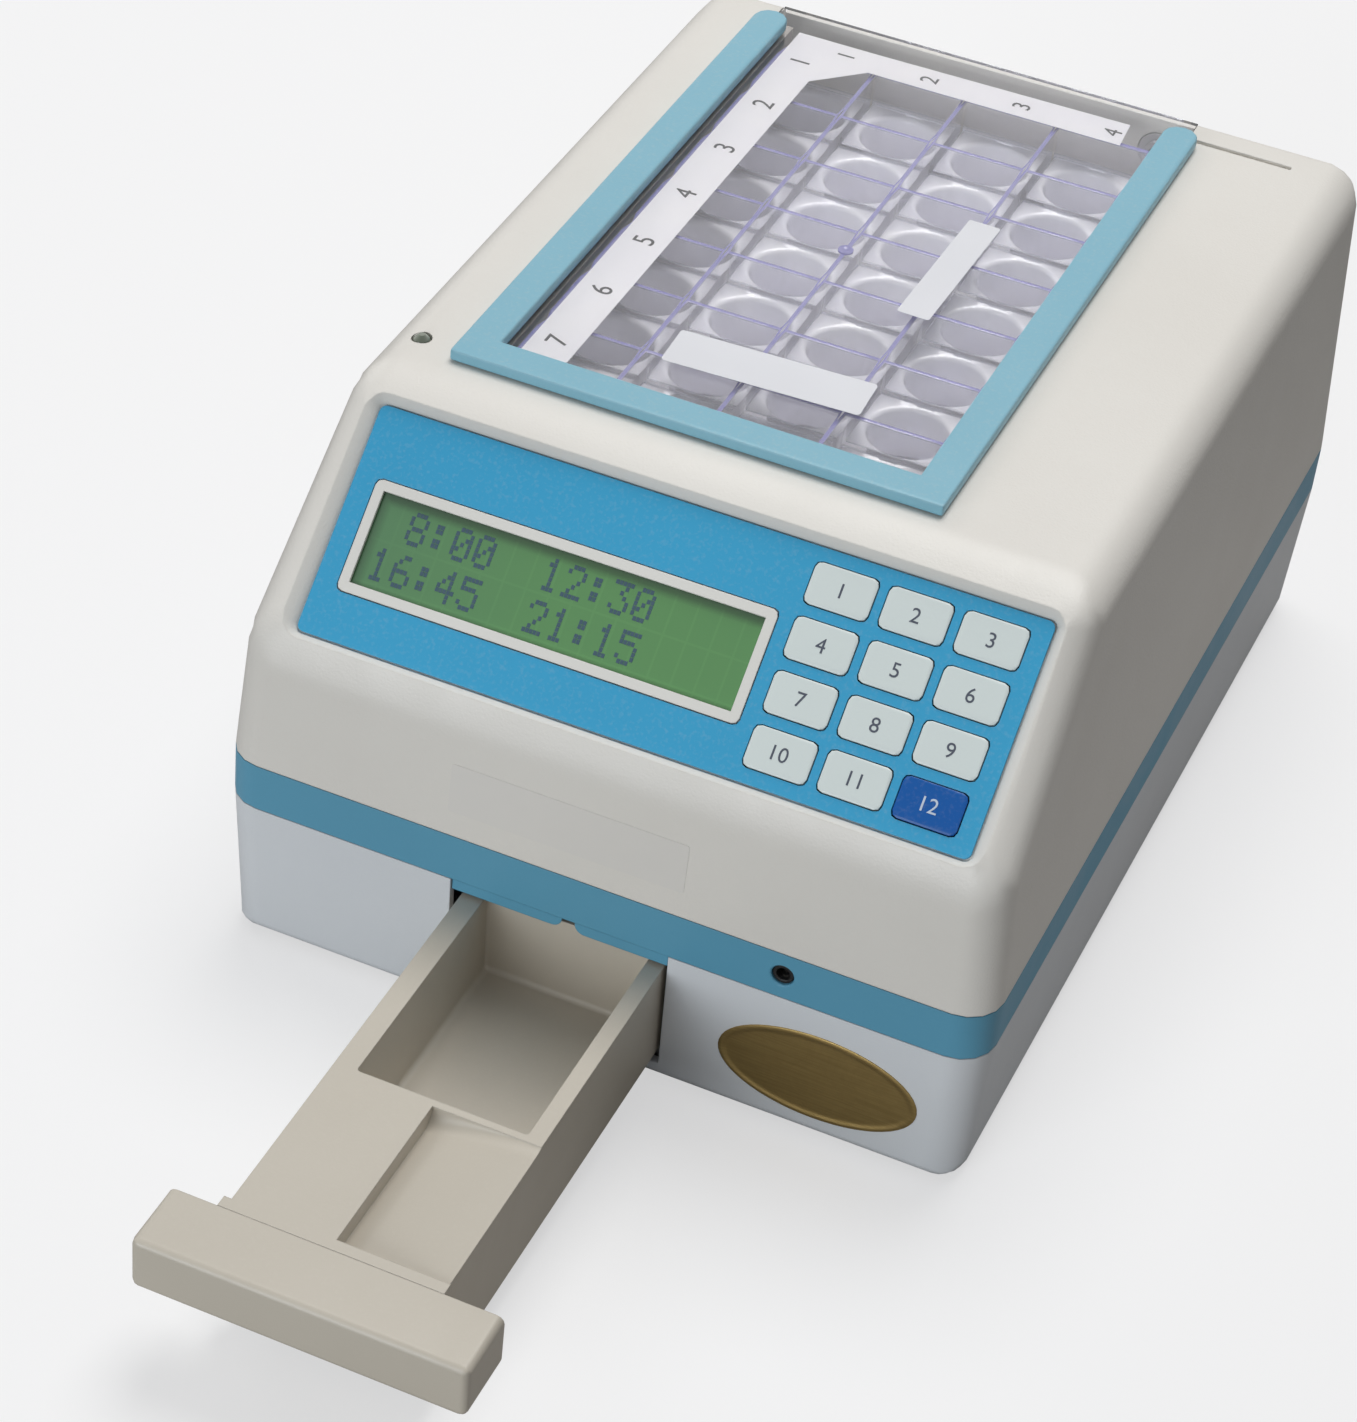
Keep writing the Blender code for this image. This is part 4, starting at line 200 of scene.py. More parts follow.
def grainBump(tree, shader, grain, strength, depth, under=None):
    # fine relief, over the rounded edges where there are any
    bump = addNode(tree, "ShaderNodeBump", inputs={"Strength": strength, "Distance": depth})
    link(tree, grain.outputs["Height"], bump.inputs["Height"])
    if under is not None:
        link(tree, under.outputs["Normal"], bump.inputs["Normal"])
    link(tree, bump.outputs["Normal"], shader.inputs["Normal"])


def scaled(colour, factor, lift=0.0):
    return tuple(min(1.0, part * factor + lift) for part in colour[:3]) + (1.0,)


plainSockets = {
    "specular": "Specular IOR Level", "coat": "Coat Weight", "coatRoughness": "Coat Roughness",
    "metallic": "Metallic", "ior": "IOR", "transmission": "Transmission Weight",
}


def plastic(name, values):
    # moulded plastic: grain, slow tone change, polished corners (on the bezel also a painted edge highlight),
    # smears and a little dust
    material, tree, shader = startMaterial(name)
    grain = useGroup(tree, grainGroup, {"Scale": values["grainScale"]})
    edges = useGroup(tree, edgeGroup, {"Radius": values.get("edgeRadius", 0.0005)})
    handling = useGroup(tree, handlingGroup, {"Scale": 14.0})
    colour = values["colour"]
    shade = values.get("shade", scaled(colour, 0.86))
    worn = values.get("worn", scaled(colour, 1.18, 0.02))
    tone = mathNode(tree, "MULTIPLY", grain.outputs["Tone"], values.get("tone", 0.5))
    # rounded edges take the lighter worn colour: wear, and on the bezel also a painted highlight
    wear = mathNode(tree, "MULTIPLY", edges.outputs["Edge"], values.get("wear", 0.5))
    dust = mathNode(tree, "MULTIPLY", handling.outputs["Dust"], values.get("dust", 0.1))
    tint = mixColour(tree, wear, mixColour(tree, tone, colour, shade), worn)
    link(tree, mixColour(tree, dust, tint, linear(214, 208, 198)), shader.inputs["Base Color"])
    spread = 0.08
    smearRoughness(tree, shader, handling, values["roughness"] - spread, values["roughness"] + spread)
    grainBump(tree, shader, grain, values.get("grainStrength", 0.35), values.get("grainDepth", 0.0001), edges)
    setPlain(shader, specular=values.get("specular", 0.5), coat=values.get("coat", 0.0), coatRoughness=0.15)
    return material


def mixSurface(tree, factor, first, second):
    # the output shows the first shader, and the second one where the factor is 1
    mixed = addNode(tree, "ShaderNodeMixShader")
    link(tree, factor, mixed.inputs[0])
    link(tree, first.outputs[0], mixed.inputs[1])
    link(tree, second.outputs[0], mixed.inputs[2])
    kinds = ("ShaderNodeOutputMaterial", "ShaderNodeOutputWorld")
    output = [node for node in tree.nodes if node.bl_idname in kinds][0]
    link(tree, mixed.outputs[0], output.inputs["Surface"])


def clearSheet(name, values):
    # flat clear acrylic with faint smears: shadows and soft light go straight through it
    material, tree, shader = startMaterial(name)
    handling = useGroup(tree, handlingGroup, {"Scale": 22.0})
    tint = mixColour(tree, handling.outputs["Smear"], values["colour"], values["shade"])
    link(tree, tint, shader.inputs["Base Color"])
    smearRoughness(tree, shader, handling, values["roughness"], values["roughness"] * 2.5)
    setPlain(shader, ior=1.49, transmission=1.0)
    path = addNode(tree, "ShaderNodeLightPath")
    passes = mathNode(tree, "MAXIMUM", path.outputs["Is Shadow Ray"], path.outputs["Is Diffuse Ray"])
    straight = addNode(tree, "ShaderNodeBsdfTransparent")
    mixSurface(tree, passes, shader, straight)
    return material


def cellPlastic(name, values):
    # clear moulding by height: violet upper edges, thin walls that show what is behind, milky cups
    material, tree, shader = startMaterial(name)
    grain = useGroup(tree, grainGroup, {"Scale": 260.0})
    handling = useGroup(tree, handlingGroup, {"Scale": 26.0})
    split = addNode(tree, "ShaderNodeSeparateXYZ")
    link(tree, addNode(tree, "ShaderNodeTexCoord").outputs["Object"], split.inputs[0])
    walls = remap(tree, split.outputs["Z"], values["wallStart"], values["wallFull"], 0.0, 1.0)
    tops = remap(tree, split.outputs["Z"], values["edgeStart"], values["edgeFull"], 0.0, 1.0)
    cups = mixColour(tree, handling.outputs["Smear"], values["cup"], values["cupShade"])
    tint = mixColour(tree, tops, mixColour(tree, walls, cups, values["wall"]), values["edge"])
    link(tree, tint, shader.inputs["Base Color"])
    lower = remap(tree, walls, 0.0, 1.0, values["cupAlpha"], values["wallAlpha"])
    upper = mathNode(tree, "MULTIPLY", tops, values["edgeAlpha"] - values["wallAlpha"])
    link(tree, mathNode(tree, "ADD", lower, upper), shader.inputs["Alpha"])
    smearRoughness(tree, shader, handling, 0.1, 0.24)
    setPlain(shader, coat=1.0, coatRoughness=0.06)
    grainBump(tree, shader, grain, 0.35, 0.0002)
    return material


def metal(name, values):
    material, tree, shader = startMaterial(name)
    grain = useGroup(tree, grainGroup, {"Scale": values["grainScale"]})
    edges = useGroup(tree, edgeGroup, {"Radius": values["edgeRadius"]})
    handling = useGroup(tree, handlingGroup, {"Scale": 30.0})
    tint = mixColour(tree, grain.outputs["Tone"], values["colour"], values["shade"])
    link(tree, mixColour(tree, edges.outputs["Edge"], tint, values["worn"]), shader.inputs["Base Color"])
    setPlain(shader, metallic=1.0)
    smearRoughness(tree, shader, handling, values["roughness"] * 0.8, values["roughness"] * 1.3)
    grainBump(tree, shader, grain, 0.25, 0.00004, edges)
    return material


finishes = {
    "housingCream": plastic("housingCream", {
        "colour": linear(224, 221, 215), "shade": linear(214, 210, 203), "roughness": 0.42,
        "grainScale": 1700.0, "grainDepth": 0.00012, "grainStrength": 0.5, "tone": 0.5, "wear": 0.35,
        "dust": 0.1, "edgeRadius": 0.0007}),
    "baseGrey": plastic("baseGrey", {
        "colour": linear(217, 221, 225), "shade": linear(206, 210, 215), "roughness": 0.44,
        "grainScale": 1700.0, "grainDepth": 0.0001, "grainStrength": 0.4, "wear": 0.35, "dust": 0.05,
        "edgeRadius": 0.0006}),
    "bandTeal": plastic("bandTeal", {
        "colour": linear(94, 158, 186), "shade": linear(81, 146, 175), "roughness": 0.4,
        "grainScale": 1500.0, "grainDepth": 0.00008, "wear": 0.3, "dust": 0.08, "specular": 0.35}),
    # the bezel's strong pale edge colour is partly wear and partly a painted highlight along its rounded
    # edges
    "bezelTeal": plastic("bezelTeal", {
        "colour": linear(129, 181, 199), "shade": linear(115, 171, 191),
        "worn": linear(176, 208, 218), "roughness": 0.36, "grainScale": 1500.0, "grainDepth": 0.00006,
        "wear": 0.7, "dust": 0.1, "edgeRadius": 0.0006}),
    "overlayBlue": plastic("overlayBlue", {
        "colour": linear(50, 157, 201), "shade": linear(43, 148, 193), "worn": linear(140, 190, 215),
        "roughness": 0.36, "grainScale": 900.0, "grainDepth": 0.00005, "grainStrength": 0.3,
        "wear": 0.3, "dust": 0.16}),
    "keyGrey": plastic("keyGrey", {
        "colour": linear(213, 222, 220), "shade": linear(203, 212, 211), "roughness": 0.4,
        "grainScale": 1200.0, "grainDepth": 0.00005, "wear": 0.4, "dust": 0.05, "edgeRadius": 0.0004}),
    "keyBlue": plastic("keyBlue", {
        "colour": linear(6, 86, 162), "shade": linear(5, 78, 154), "roughness": 0.36,
        "grainScale": 1200.0, "grainDepth": 0.00005, "wear": 0.3, "dust": 0.1, "edgeRadius": 0.0004,
        "specular": 0.3}),
    "displayWhite": plastic("displayWhite", {
        "colour": linear(222, 221, 216), "roughness": 0.4, "grainScale": 1200.0,
        "grainDepth": 0.00004, "wear": 0.3}),
    "darkPlastic": plastic("darkPlastic", {
        "colour": linear(26, 26, 28), "shade": linear(18, 18, 20), "roughness": 0.42,
        "grainScale": 1400.0, "dust": 0.25}),
    "mechanism": plastic("mechanism", {
        "colour": linear(150, 143, 136), "shade": linear(132, 125, 118), "roughness": 0.5,
        "grainScale": 1000.0}),
    "shutterFilm": plastic("shutterFilm", {
        "colour": linear(222, 220, 230), "shade": linear(212, 210, 221), "roughness": 0.3,
        "grainScale": 500.0, "grainDepth": 0.00004, "coat": 0.3}),
    "chuteGrey": plastic("chuteGrey", {
        "colour": linear(170, 168, 170), "roughness": 0.35, "grainScale": 900.0, "grainDepth": 0.00005}),
    "circuitBoard": plastic("circuitBoard", {
        "colour": linear(30, 96, 58), "shade": linear(20, 78, 46), "worn": linear(190, 160, 80),
        "roughness": 0.3, "grainScale": 400.0, "grainDepth": 0.00006, "tone": 1.0, "wear": 0.6,
        "dust": 0.3}),
    "batterySleeve": plastic("batterySleeve", {
        "colour": linear(38, 52, 74), "shade": linear(30, 43, 63), "roughness": 0.28,
        "grainScale": 300.0, "dust": 0.2}),
    "drawerBeige": plastic("drawerBeige", {
        "colour": linear(194, 187, 174), "shade": linear(184, 176, 162),
        "worn": linear(214, 207, 195), "roughness": 0.4, "grainScale": 1300.0, "grainDepth": 0.00006,
        "grainStrength": 0.3, "wear": 0.45, "dust": 0.06, "edgeRadius": 0.0005}),
    "rubber": plastic("rubber", {
        "colour": linear(34, 34, 35), "shade": linear(26, 26, 27), "roughness": 0.75,
        "grainScale": 1100.0, "grainDepth": 0.00015, "dust": 0.3}),
    "steel": metal("steel", {
        "colour": linear(196, 196, 198), "shade": linear(176, 176, 178),
        "worn": linear(226, 226, 226), "roughness": 0.28, "grainScale": 900.0, "edgeRadius": 0.0003}),
    "coverClear": clearSheet("coverClear", {
        "colour": linear(255, 255, 255), "shade": linear(250, 250, 253), "roughness": 0.015}),
    "trayClear": cellPlastic("trayClear", {
        "cup": linear(250, 249, 253), "cupShade": linear(240, 239, 248),
        "wall": linear(214, 213, 232), "edge": linear(104, 98, 172), "wallStart": 0.1474,
        "wallFull": 0.1487, "edgeStart": 0.1573, "edgeFull": 0.1579, "cupAlpha": 0.94,
        "wallAlpha": 0.11, "edgeAlpha": 0.92}),
}

nodeFinishes = {
    "top_housing": "housingCream", "rear_door": "housingCream", "base_housing": "baseGrey",
    "chassis_band": "bandTeal", "window_bezel": "bezelTeal", "keypad_overlay": "overlayBlue",
    "lcd_border": "displayWhite", "lcd_module": "circuitBoard", "keypad_board": "circuitBoard",
    "main_board": "circuitBoard", "jack_socket": "darkPlastic", "buzzer": "darkPlastic",
    "power_inlet": "darkPlastic", "gear_motor": "darkPlastic", "bay_frame": "mechanism",
    "drive_roller": "mechanism", "drive_gear": "mechanism", "motor_pinion": "steel", "door_pin": "steel",
    "lock_cylinder": "steel", "lock_cam": "steel", "shutter_sheet": "shutterFilm", "chute": "chuteGrey",
    "drawer_runner_left": "chuteGrey", "drawer_runner_right": "chuteGrey", "battery_pack": "batterySleeve",
    "drawer_body": "drawerBeige", "drawer_front": "drawerBeige", "window_cover": "coverClear",
    "foot_1": "rubber", "foot_2": "rubber", "foot_3": "rubber", "foot_4": "rubber", "key_12": "keyBlue",
}
for number in range(1, 12):
    nodeFinishes["key_%02d" % number] = "keyGrey"


# angles in degrees: what bends less is shaded smooth
smoothing = {"weld": 0.000004, "nodeAngle": 34, "pieceAngle": 38, "faceWeight": 80}


def buildSmoother():
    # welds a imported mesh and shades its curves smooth, leaving corners sharper than the limit
    group = bpy.data.node_groups.new("smoothCurves", "GeometryNodeTree")
    group.interface.new_socket("Geometry", in_out="INPUT", socket_type="NodeSocketGeometry")
    group.interface.new_socket("Geometry", in_out="OUTPUT", socket_type="NodeSocketGeometry")
    source = group.nodes.new("NodeGroupInput")
    sink = group.nodes.new("NodeGroupOutput")
    weld = addNode(group, "GeometryNodeMergeByDistance", inputs={"Distance": smoothing["weld"]})
    clear = addNode(group, "GeometryNodeRemoveAttribute", inputs={"Name": "custom_normal"})
    faces = addNode(group, "GeometryNodeSetShadeSmooth", domain="FACE")
    corners = addNode(group, "GeometryNodeSetShadeSmooth", domain="EDGE", inputs={"Shade Smooth": False})
    angle = addNode(group, "GeometryNodeInputMeshEdgeAngle")
    sharp = addNode(group, "FunctionNodeCompare", data_type="FLOAT", operation="GREATER_THAN",
                    inputs={"B": math.radians(smoothing["nodeAngle"])})
    link(group, angle.outputs["Unsigned Angle"], sharp.inputs["A"])
    link(group, sharp.outputs["Result"], corners.inputs["Selection"])
    link(group, source.outputs[0], weld.inputs["Geometry"])
    link(group, weld.outputs[0], clear.inputs["Geometry"])
    link(group, clear.outputs[0], faces.inputs[0])
    link(group, faces.outputs[0], corners.inputs[0])
    link(group, corners.outputs[0], sink.inputs[0])
    return group


smoother = buildSmoother()


def dressNode(name, finish):
    node = nodes[name]
    node.data.materials.clear()
    node.data.materials.append(finishes[finish])
    smooth = node.modifiers.new("smoothCurves", "NODES")
    smooth.node_group = smoother
    weighted = node.modifiers.new("flatFaces", "WEIGHTED_NORMAL")
    weighted.keep_sharp = True
    weighted.weight = smoothing["faceWeight"]


for nodeName, finishName in nodeFinishes.items():
    dressNode(nodeName, finishName)
print("dressed", len(nodeFinishes), "CAD nodes")


# mesh helpers

def placeMesh(name, mesh, finish):
    data = bpy.data.meshes.new(name)
    mesh.to_mesh(data)
    mesh.free()
    piece = bpy.data.objects.new(name, data)
    scene.collection.objects.link(piece)
    data.materials.append(finish)
    return piece


def addPiece(name, mesh, finish, body, smooth=False):
    bmesh.ops.recalc_face_normals(mesh, faces=mesh.faces)
    piece = placeMesh(name, mesh, finish)
    if smooth:
        piece.data.shade_smooth()
        piece.data.set_sharp_from_angle(angle=math.radians(smoothing["pieceAngle"]))
    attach(piece, body)
    return piece


def ringOf(mesh, points):
    return [mesh.verts.new(point) for point in points]


def joinRings(mesh, rings):
    for low, high in zip(rings, rings[1:]):
        for i in range(len(low)):
            j = (i + 1) % len(low)
            mesh.faces.new((low[i], low[j], high[j], high[i]))


def roundedOutline(x, y, radius):
    # x and y are the limits of the rectangle whose corners are rounded
    points = []
    steps = 5
    for centreX, centreY, quarter in ((x[1] - radius, y[1] - radius, 0), (x[0] + radius, y[1] - radius, 1),
                                      (x[0] + radius, y[0] + radius, 2), (x[1] - radius, y[0] + radius, 3)):
        for i in range(steps + 1):
            angle = (quarter + i / steps) * math.pi / 2
            points.append((centreX + radius * math.cos(angle), centreY + radius * math.sin(angle)))
    return points


def flatSheet(outline, thickness, place):
    # thin sheet lying on the plane that place gives
    mesh = bmesh.new()
    rings = [ringOf(mesh, [place @ Vector((x, y, rise)) for x, y in outline]) for rise in (0.0, thickness)]
    joinRings(mesh, rings)
    mesh.faces.new(rings[0])
    mesh.faces.new(rings[-1])
    return mesh


numberShape = {"size": 1.4, "depth": 0.00003, "resolution": 4}  # size against the wanted height


def numberMesh(text, height):
    # plain numbers as a flat mesh, centred on the origin
    curve = bpy.data.curves.new("number", "FONT")
    curve.body = text
    curve.size = height * numberShape["size"]
    curve.align_x = "CENTER"
    curve.align_y = "CENTER"
    curve.extrude = numberShape["depth"]
    curve.resolution_u = numberShape["resolution"]
    holder = bpy.data.objects.new("numberHolder", curve)
    scene.collection.objects.link(holder)
    bpy.context.view_layer.update()
    graph = bpy.context.evaluated_depsgraph_get()
    data = bpy.data.meshes.new_from_object(holder.evaluated_get(graph))
    bpy.data.objects.remove(holder)
    bpy.data.curves.remove(curve)
    acrossX = [vertex.co.x for vertex in data.vertices]
    acrossY = [vertex.co.y for vertex in data.vertices]
    low = Vector((min(acrossX), min(acrossY), 0))
    high = Vector((max(acrossX), max(acrossY), 0))
    data.transform(Matrix.Translation(-(low + high) / 2))
    return data


def numbersPiece(name, entries, finish, body):
    # entries: (text, height, matrix)
    mesh = bmesh.new()
    for text, height, place in entries:
        data = numberMesh(text, height)
        data.transform(place)
        mesh.from_mesh(data)
        bpy.data.meshes.remove(data)
    piece = placeMesh(name, mesh, finish)
    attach(piece, body)


# console

console = {
    "crease": (0.0, -0.07642, 0.1073),  # where the sloped face starts
    "slope": math.atan2(0.0547, 0.0586),
    "keyTop": -0.0026,
    "glassTop": -0.0042,
    "keyColumns": (0.0419, 0.0630, 0.0841),
    "keyRows": (0.06238, 0.04702, 0.03166, 0.0163),
    "legendHeight": 0.0042,
    "windowX": (-0.0877, 0.0252),
    "windowV": (0.0229, 0.0495),
    "charactersX": 16,
    "characterPitch": 0.00672,
    "linePitch": 0.0122,
    "dot": 0.00098,
    "dotGap": 0.00012,
    "dotStretch": 1.22,  # height of a dot against its width
    "dotRows": 7,
    "dotRise": (0.00001, 0.00006),
    "characterMargin": 0.0005,
    "lines": (" 8:00  12:30", "16:45  21:15"),
}
inkLift = 0.00004  # between printed numbers and what carries them
consolePlane = Matrix.Translation(console["crease"]) @ Matrix.Rotation(console["slope"], 4, "X")

digitRows = {
    "0": "01110 10001 10011 10101 11001 10001 01110", "1": "00100 01100 00100 00100 00100 00100 01110",
    "2": "01110 10001 00001 00010 00100 01000 11111", "3": "11111 00010 00100 00010 00001 10001 01110",
    "4": "00010 00110 01010 10010 11111 00010 00010", "5": "11111 10000 11110 00001 00001 10001 01110",
    "6": "00110 01000 10000 11110 10001 10001 01110", "7": "11111 00001 00010 00100 01000 01000 01000",
    "8": "01110 10001 10001 01110 10001 10001 01110", "9": "01110 10001 10001 01111 00001 00010 01100",
    ":": "00000 01100 01100 00000 01100 01100 00000", " ": "00000 00000 00000 00000 00000 00000 00000",
}


def inkMaterial(name, colour, roughness):
    return plastic(name, {
        "colour": colour, "roughness": roughness, "grainScale": 900.0, "grainDepth": 0.00002,
        "wear": 0.0, "dust": 0.05, "tone": 0.6, "edgeRadius": 0.0001})


def displayPanelMaterial():
    # green backlit panel: faint cell grid, darker towards the upper left where the frame shades it
    material, tree, shader = startMaterial("displayGreen")
    handling = useGroup(tree, handlingGroup, {"Scale": 18.0})
    place = addNode(tree, "ShaderNodeTexCoord").outputs["Object"]
    turn = addNode(tree, "ShaderNodeMapping", vector_type="TEXTURE",
                   inputs={"Location": console["crease"], "Rotation": (console["slope"], 0.0, 0.0)})
    link(tree, place, turn.inputs["Vector"])
    cells = addNode(tree, "ShaderNodeTexBrick", offset=0.0, inputs={
        "Scale": 1.0, "Mortar Size": 0.00045, "Mortar Smooth": 0.6, "Mortar": (0, 0, 0, 1),
        "Brick Width": console["characterPitch"], "Row Height": console["linePitch"],
        "Color1": (1, 1, 1, 1), "Color2": (1, 1, 1, 1)})
    link(tree, turn.outputs["Vector"], cells.inputs["Vector"])
    tint = mixColour(tree, cells.outputs["Fac"], linear(88, 141, 84), linear(92, 146, 87))
    smear = mathNode(tree, "MULTIPLY", handling.outputs["Smear"], 0.35)
    tint = mixColour(tree, smear, tint, linear(80, 128, 86))
    split = addNode(tree, "ShaderNodeSeparateXYZ")
    link(tree, turn.outputs["Vector"], split.inputs[0])
    shaded = remap(tree, split.outputs["X"], -0.088, -0.030, 0.45, 0.0)
    tint = mixColour(tree, shaded, tint, linear(76, 112, 92))
    # the frame stands proud, so the panel is dark along its upper and left edges
    left, top = console["windowX"][0], console["windowV"][1]
    edges = mathNode(tree, "MAXIMUM", remap(tree, split.outputs["X"], left + 0.0005, left + 0.0035, 0.6, 0.0),
                     remap(tree, split.outputs["Y"], top - 0.0034, top - 0.0004, 0.0, 0.75))
    tint = mixColour(tree, edges, tint, linear(44, 66, 50))
    link(tree, tint, shader.inputs["Base Color"])
    smearRoughness(tree, shader, handling, 0.12, 0.24)
    setPlain(shader, specular=0.5)
    return material


def placeDot(mesh, x, v):
    # one dot of a character, from its upper left corner
    width = console["dot"]
    height = width * console["dotStretch"]
    corners = ((x, v), (x + width, v), (x + width, v - height), (x, v - height))
    low, high = [ringOf(mesh, [consolePlane @ Vector((a, b, console["glassTop"] + rise)) for a, b in corners])
                 for rise in console["dotRise"]]
    mesh.faces.new(low[::-1])
    mesh.faces.new(high)
    joinRings(mesh, [low, high])


def buildDisplay():
    finishes["displayGreen"] = displayPanelMaterial()
    dressNode("lcd_glass", "displayGreen")
    mesh = bmesh.new()
    pitch = console["dot"] + console["dotGap"]
    rowPitch = pitch * console["dotStretch"]
    left = sum(console["windowX"]) / 2 - console["charactersX"] * console["characterPitch"] / 2
    middle = sum(console["windowV"]) / 2
    for row, text in enumerate(console["lines"]):
        top = middle + (0.5 - row) * console["linePitch"] + console["dotRows"] / 2 * rowPitch
        for column, character in enumerate(text):
            start = left + column * console["characterPitch"] + console["characterMargin"]
            for j, bits in enumerate(digitRows[character].split()):
                for i, bit in enumerate(bits):
                    if bit == "1":
                        placeDot(mesh, start + i * pitch, top - j * rowPitch)
    addPiece("displayDots", mesh, inkMaterial("displayInk", linear(54, 82, 98), 0.3), "housing")


def buildLegends():
    darkInk = inkMaterial("legendInk", linear(70, 76, 90), 0.45)
    paleInk = inkMaterial("legendPale", linear(196, 208, 224), 0.45)
    number = 0
    for v in console["keyRows"]:
        for x in console["keyColumns"]:
            number += 1
            place = consolePlane @ Matrix.Translation((x, v, console["keyTop"] + inkLift))
            numbersPiece("keyNumber%02d" % number, [(str(number), console["legendHeight"], place)],
                         paleInk if number == 12 else darkInk, "key_%02d" % number)


buildDisplay()
buildLegends()
print("console built")


# card, stickers and badge

card = {
    "bottom": 0.15932,
    "thickness": 0.00012,
    "left": (-0.0722, -0.0584),
    "rear": (0.2054, 0.2172),
    "front": 0.0055,
    "right": 0.0375,
    "chamfer": 0.0145,
    "bendShare": 0.95,
    "doseX": (-0.0542, -0.0266, 0.0037, 0.0331),
    "rightSlant": (-0.001, 0.0012),
    "firstRow": 0.2005,
    "rowPitch": 0.0297,
    "rows": 7,
    "doseHeight": 0.0058,
    "rowHeight": 0.0066,
}


def paperMaterial(name, colour):
    material, tree, shader = startMaterial(name)
    grain = useGroup(tree, grainGroup, {"Scale": 700.0})
    handling = useGroup(tree, handlingGroup, {"Scale": 30.0})
    tint = mixColour(tree, grain.outputs["Tone"], colour, scaled(colour, 0.94))
    link(tree, tint, shader.inputs["Base Color"])
    smearRoughness(tree, shader, handling, 0.3, 0.5)
    grainBump(tree, shader, grain, 0.2, 0.00004)
    return material


def buildCard():
    # two strips and the gusset where they meet, as one thin sheet
    outer, inner = card["left"]
    front, back = card["rear"]
    start = front - card["chamfer"]
    bend = inner + card["chamfer"] * card["bendShare"]
    slantX, slantY = card["rightSlant"]
    shapes = (
        ((outer, card["front"]), (inner, card["front"]), (inner, start), (outer, start)),
        ((outer, start), (inner, start), (bend, front), (bend, back), (outer, back)),
        ((bend, front), (card["right"], front), (card["right"] + slantX, back + slantY), (bend, back)),
    )
    mesh = bmesh.new()
    for shape in shapes:
        rings = [ringOf(mesh, [(x, y, card["bottom"] + rise) for x, y in shape])
                 for rise in (0.0, card["thickness"])]
        mesh.faces.new(rings[0][::-1])
        mesh.faces.new(rings[1])
        joinRings(mesh, rings)
    paper = paperMaterial("cardWhite", linear(228, 226, 230))
    addPiece("numberCard", mesh, paper, "housing")
    turned = Matrix.Rotation(math.pi / 2, 4, "Z")
    top = card["bottom"] + card["thickness"] + inkLift
    marks = [(number, card["doseHeight"], x, (front + back) / 2) for number, x in enumerate(card["doseX"], 1)]
    marks += [(row + 1, card["rowHeight"], (outer + inner) / 2, card["firstRow"] - row * card["rowPitch"])
              for row in range(card["rows"])]
    entries = [(str(number), height, Matrix.Translation((x, y, top)) @ turned)
               for number, height, x, y in marks]
    ink = inkMaterial("cardInk", linear(44, 44, 48), 0.5)
    numbersPiece("cardNumbers", entries, ink, "housing")


# blank stickers on the pane: middle, half size and turn in degrees
stickers = {
    "slimSticker": {"middle": (0.0175, 0.1117), "half": (0.0049, 0.0282), "corner": 0.0008, "turn": -1.2},
    "wideSticker": {"middle": (-0.0074, 0.0364), "half": (0.0291, 0.0083), "corner": 0.0012, "turn": 2.6},
}
# blank label on the front wall, which leans back a little
label = {
    "x": -0.00985, "z": 0.08075, "half": (0.03515, 0.00795), "corner": 0.0008,
    "wallY": -0.07905, "wallZ": 0.0646, "slope": 0.0616, "lean": math.atan2(0.006, 0.0974),
}
sheetThickness = 0.0001
gap = 0.00002  # between a sheet and what it lies on


def roundedSheet(half, corner, place):
    outline = roundedOutline((-half[0], half[0]), (-half[1], half[1]), corner)
    return flatSheet(outline, sheetThickness, place)


def buildStickers():
    film = paperMaterial("stickerFilm", linear(224, 225, 230))
    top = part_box("window_cover")[1].z + gap
    for name, values in stickers.items():
        x, y = values["middle"]
        place = Matrix.Translation((x, y, top)) @ Matrix.Rotation(math.radians(values["turn"]), 4, "Z")
        sheet = roundedSheet(values["half"], values["corner"], place)
        addPiece(name, sheet, film, "housing")
    y = label["wallY"] + label["slope"] * (label["z"] - label["wallZ"]) - gap
    turn = Matrix.Rotation(math.pi / 2 - label["lean"], 4, "X")
    place = Matrix.Translation((label["x"], y, label["z"])) @ turn
    addPiece("frontLabel", roundedSheet(label["half"], label["corner"], place),
             paperMaterial("labelFilm", linear(222, 219, 214)), "housing")


def foilMaterial():
    # bare gold foil: fine rolled lines, with a darker tarnish that drifts across it
    material, tree, shader = startMaterial("badgeFoil")
    handling = useGroup(tree, handlingGroup, {"Scale": 40.0})
    grain = useGroup(tree, grainGroup, {"Scale": 1400.0})
    place = addNode(tree, "ShaderNodeTexCoord").outputs["Object"]
    lines = addNode(tree, "ShaderNodeTexNoise", inputs={"Scale": 60.0, "Detail": 3.0})
    stretch = addNode(tree, "ShaderNodeMapping", inputs={"Scale": (1.0, 1.0, 30.0)})
    link(tree, place, stretch.inputs["Vector"])
    link(tree, stretch.outputs["Vector"], lines.inputs["Vector"])
    tint = mixColour(tree, lines.outputs[0], linear(196, 170, 112), linear(152, 129, 80))
    smear = mathNode(tree, "MULTIPLY", handling.outputs["Smear"], 0.5)
    tint = mixColour(tree, smear, tint, linear(124, 103, 62))
    link(tree, tint, shader.inputs["Base Color"])
    setPlain(shader, metallic=0.85)
    smearRoughness(tree, shader, handling, 0.3, 0.46)
    grainBump(tree, shader, grain, 0.3, 0.00005)
    return material


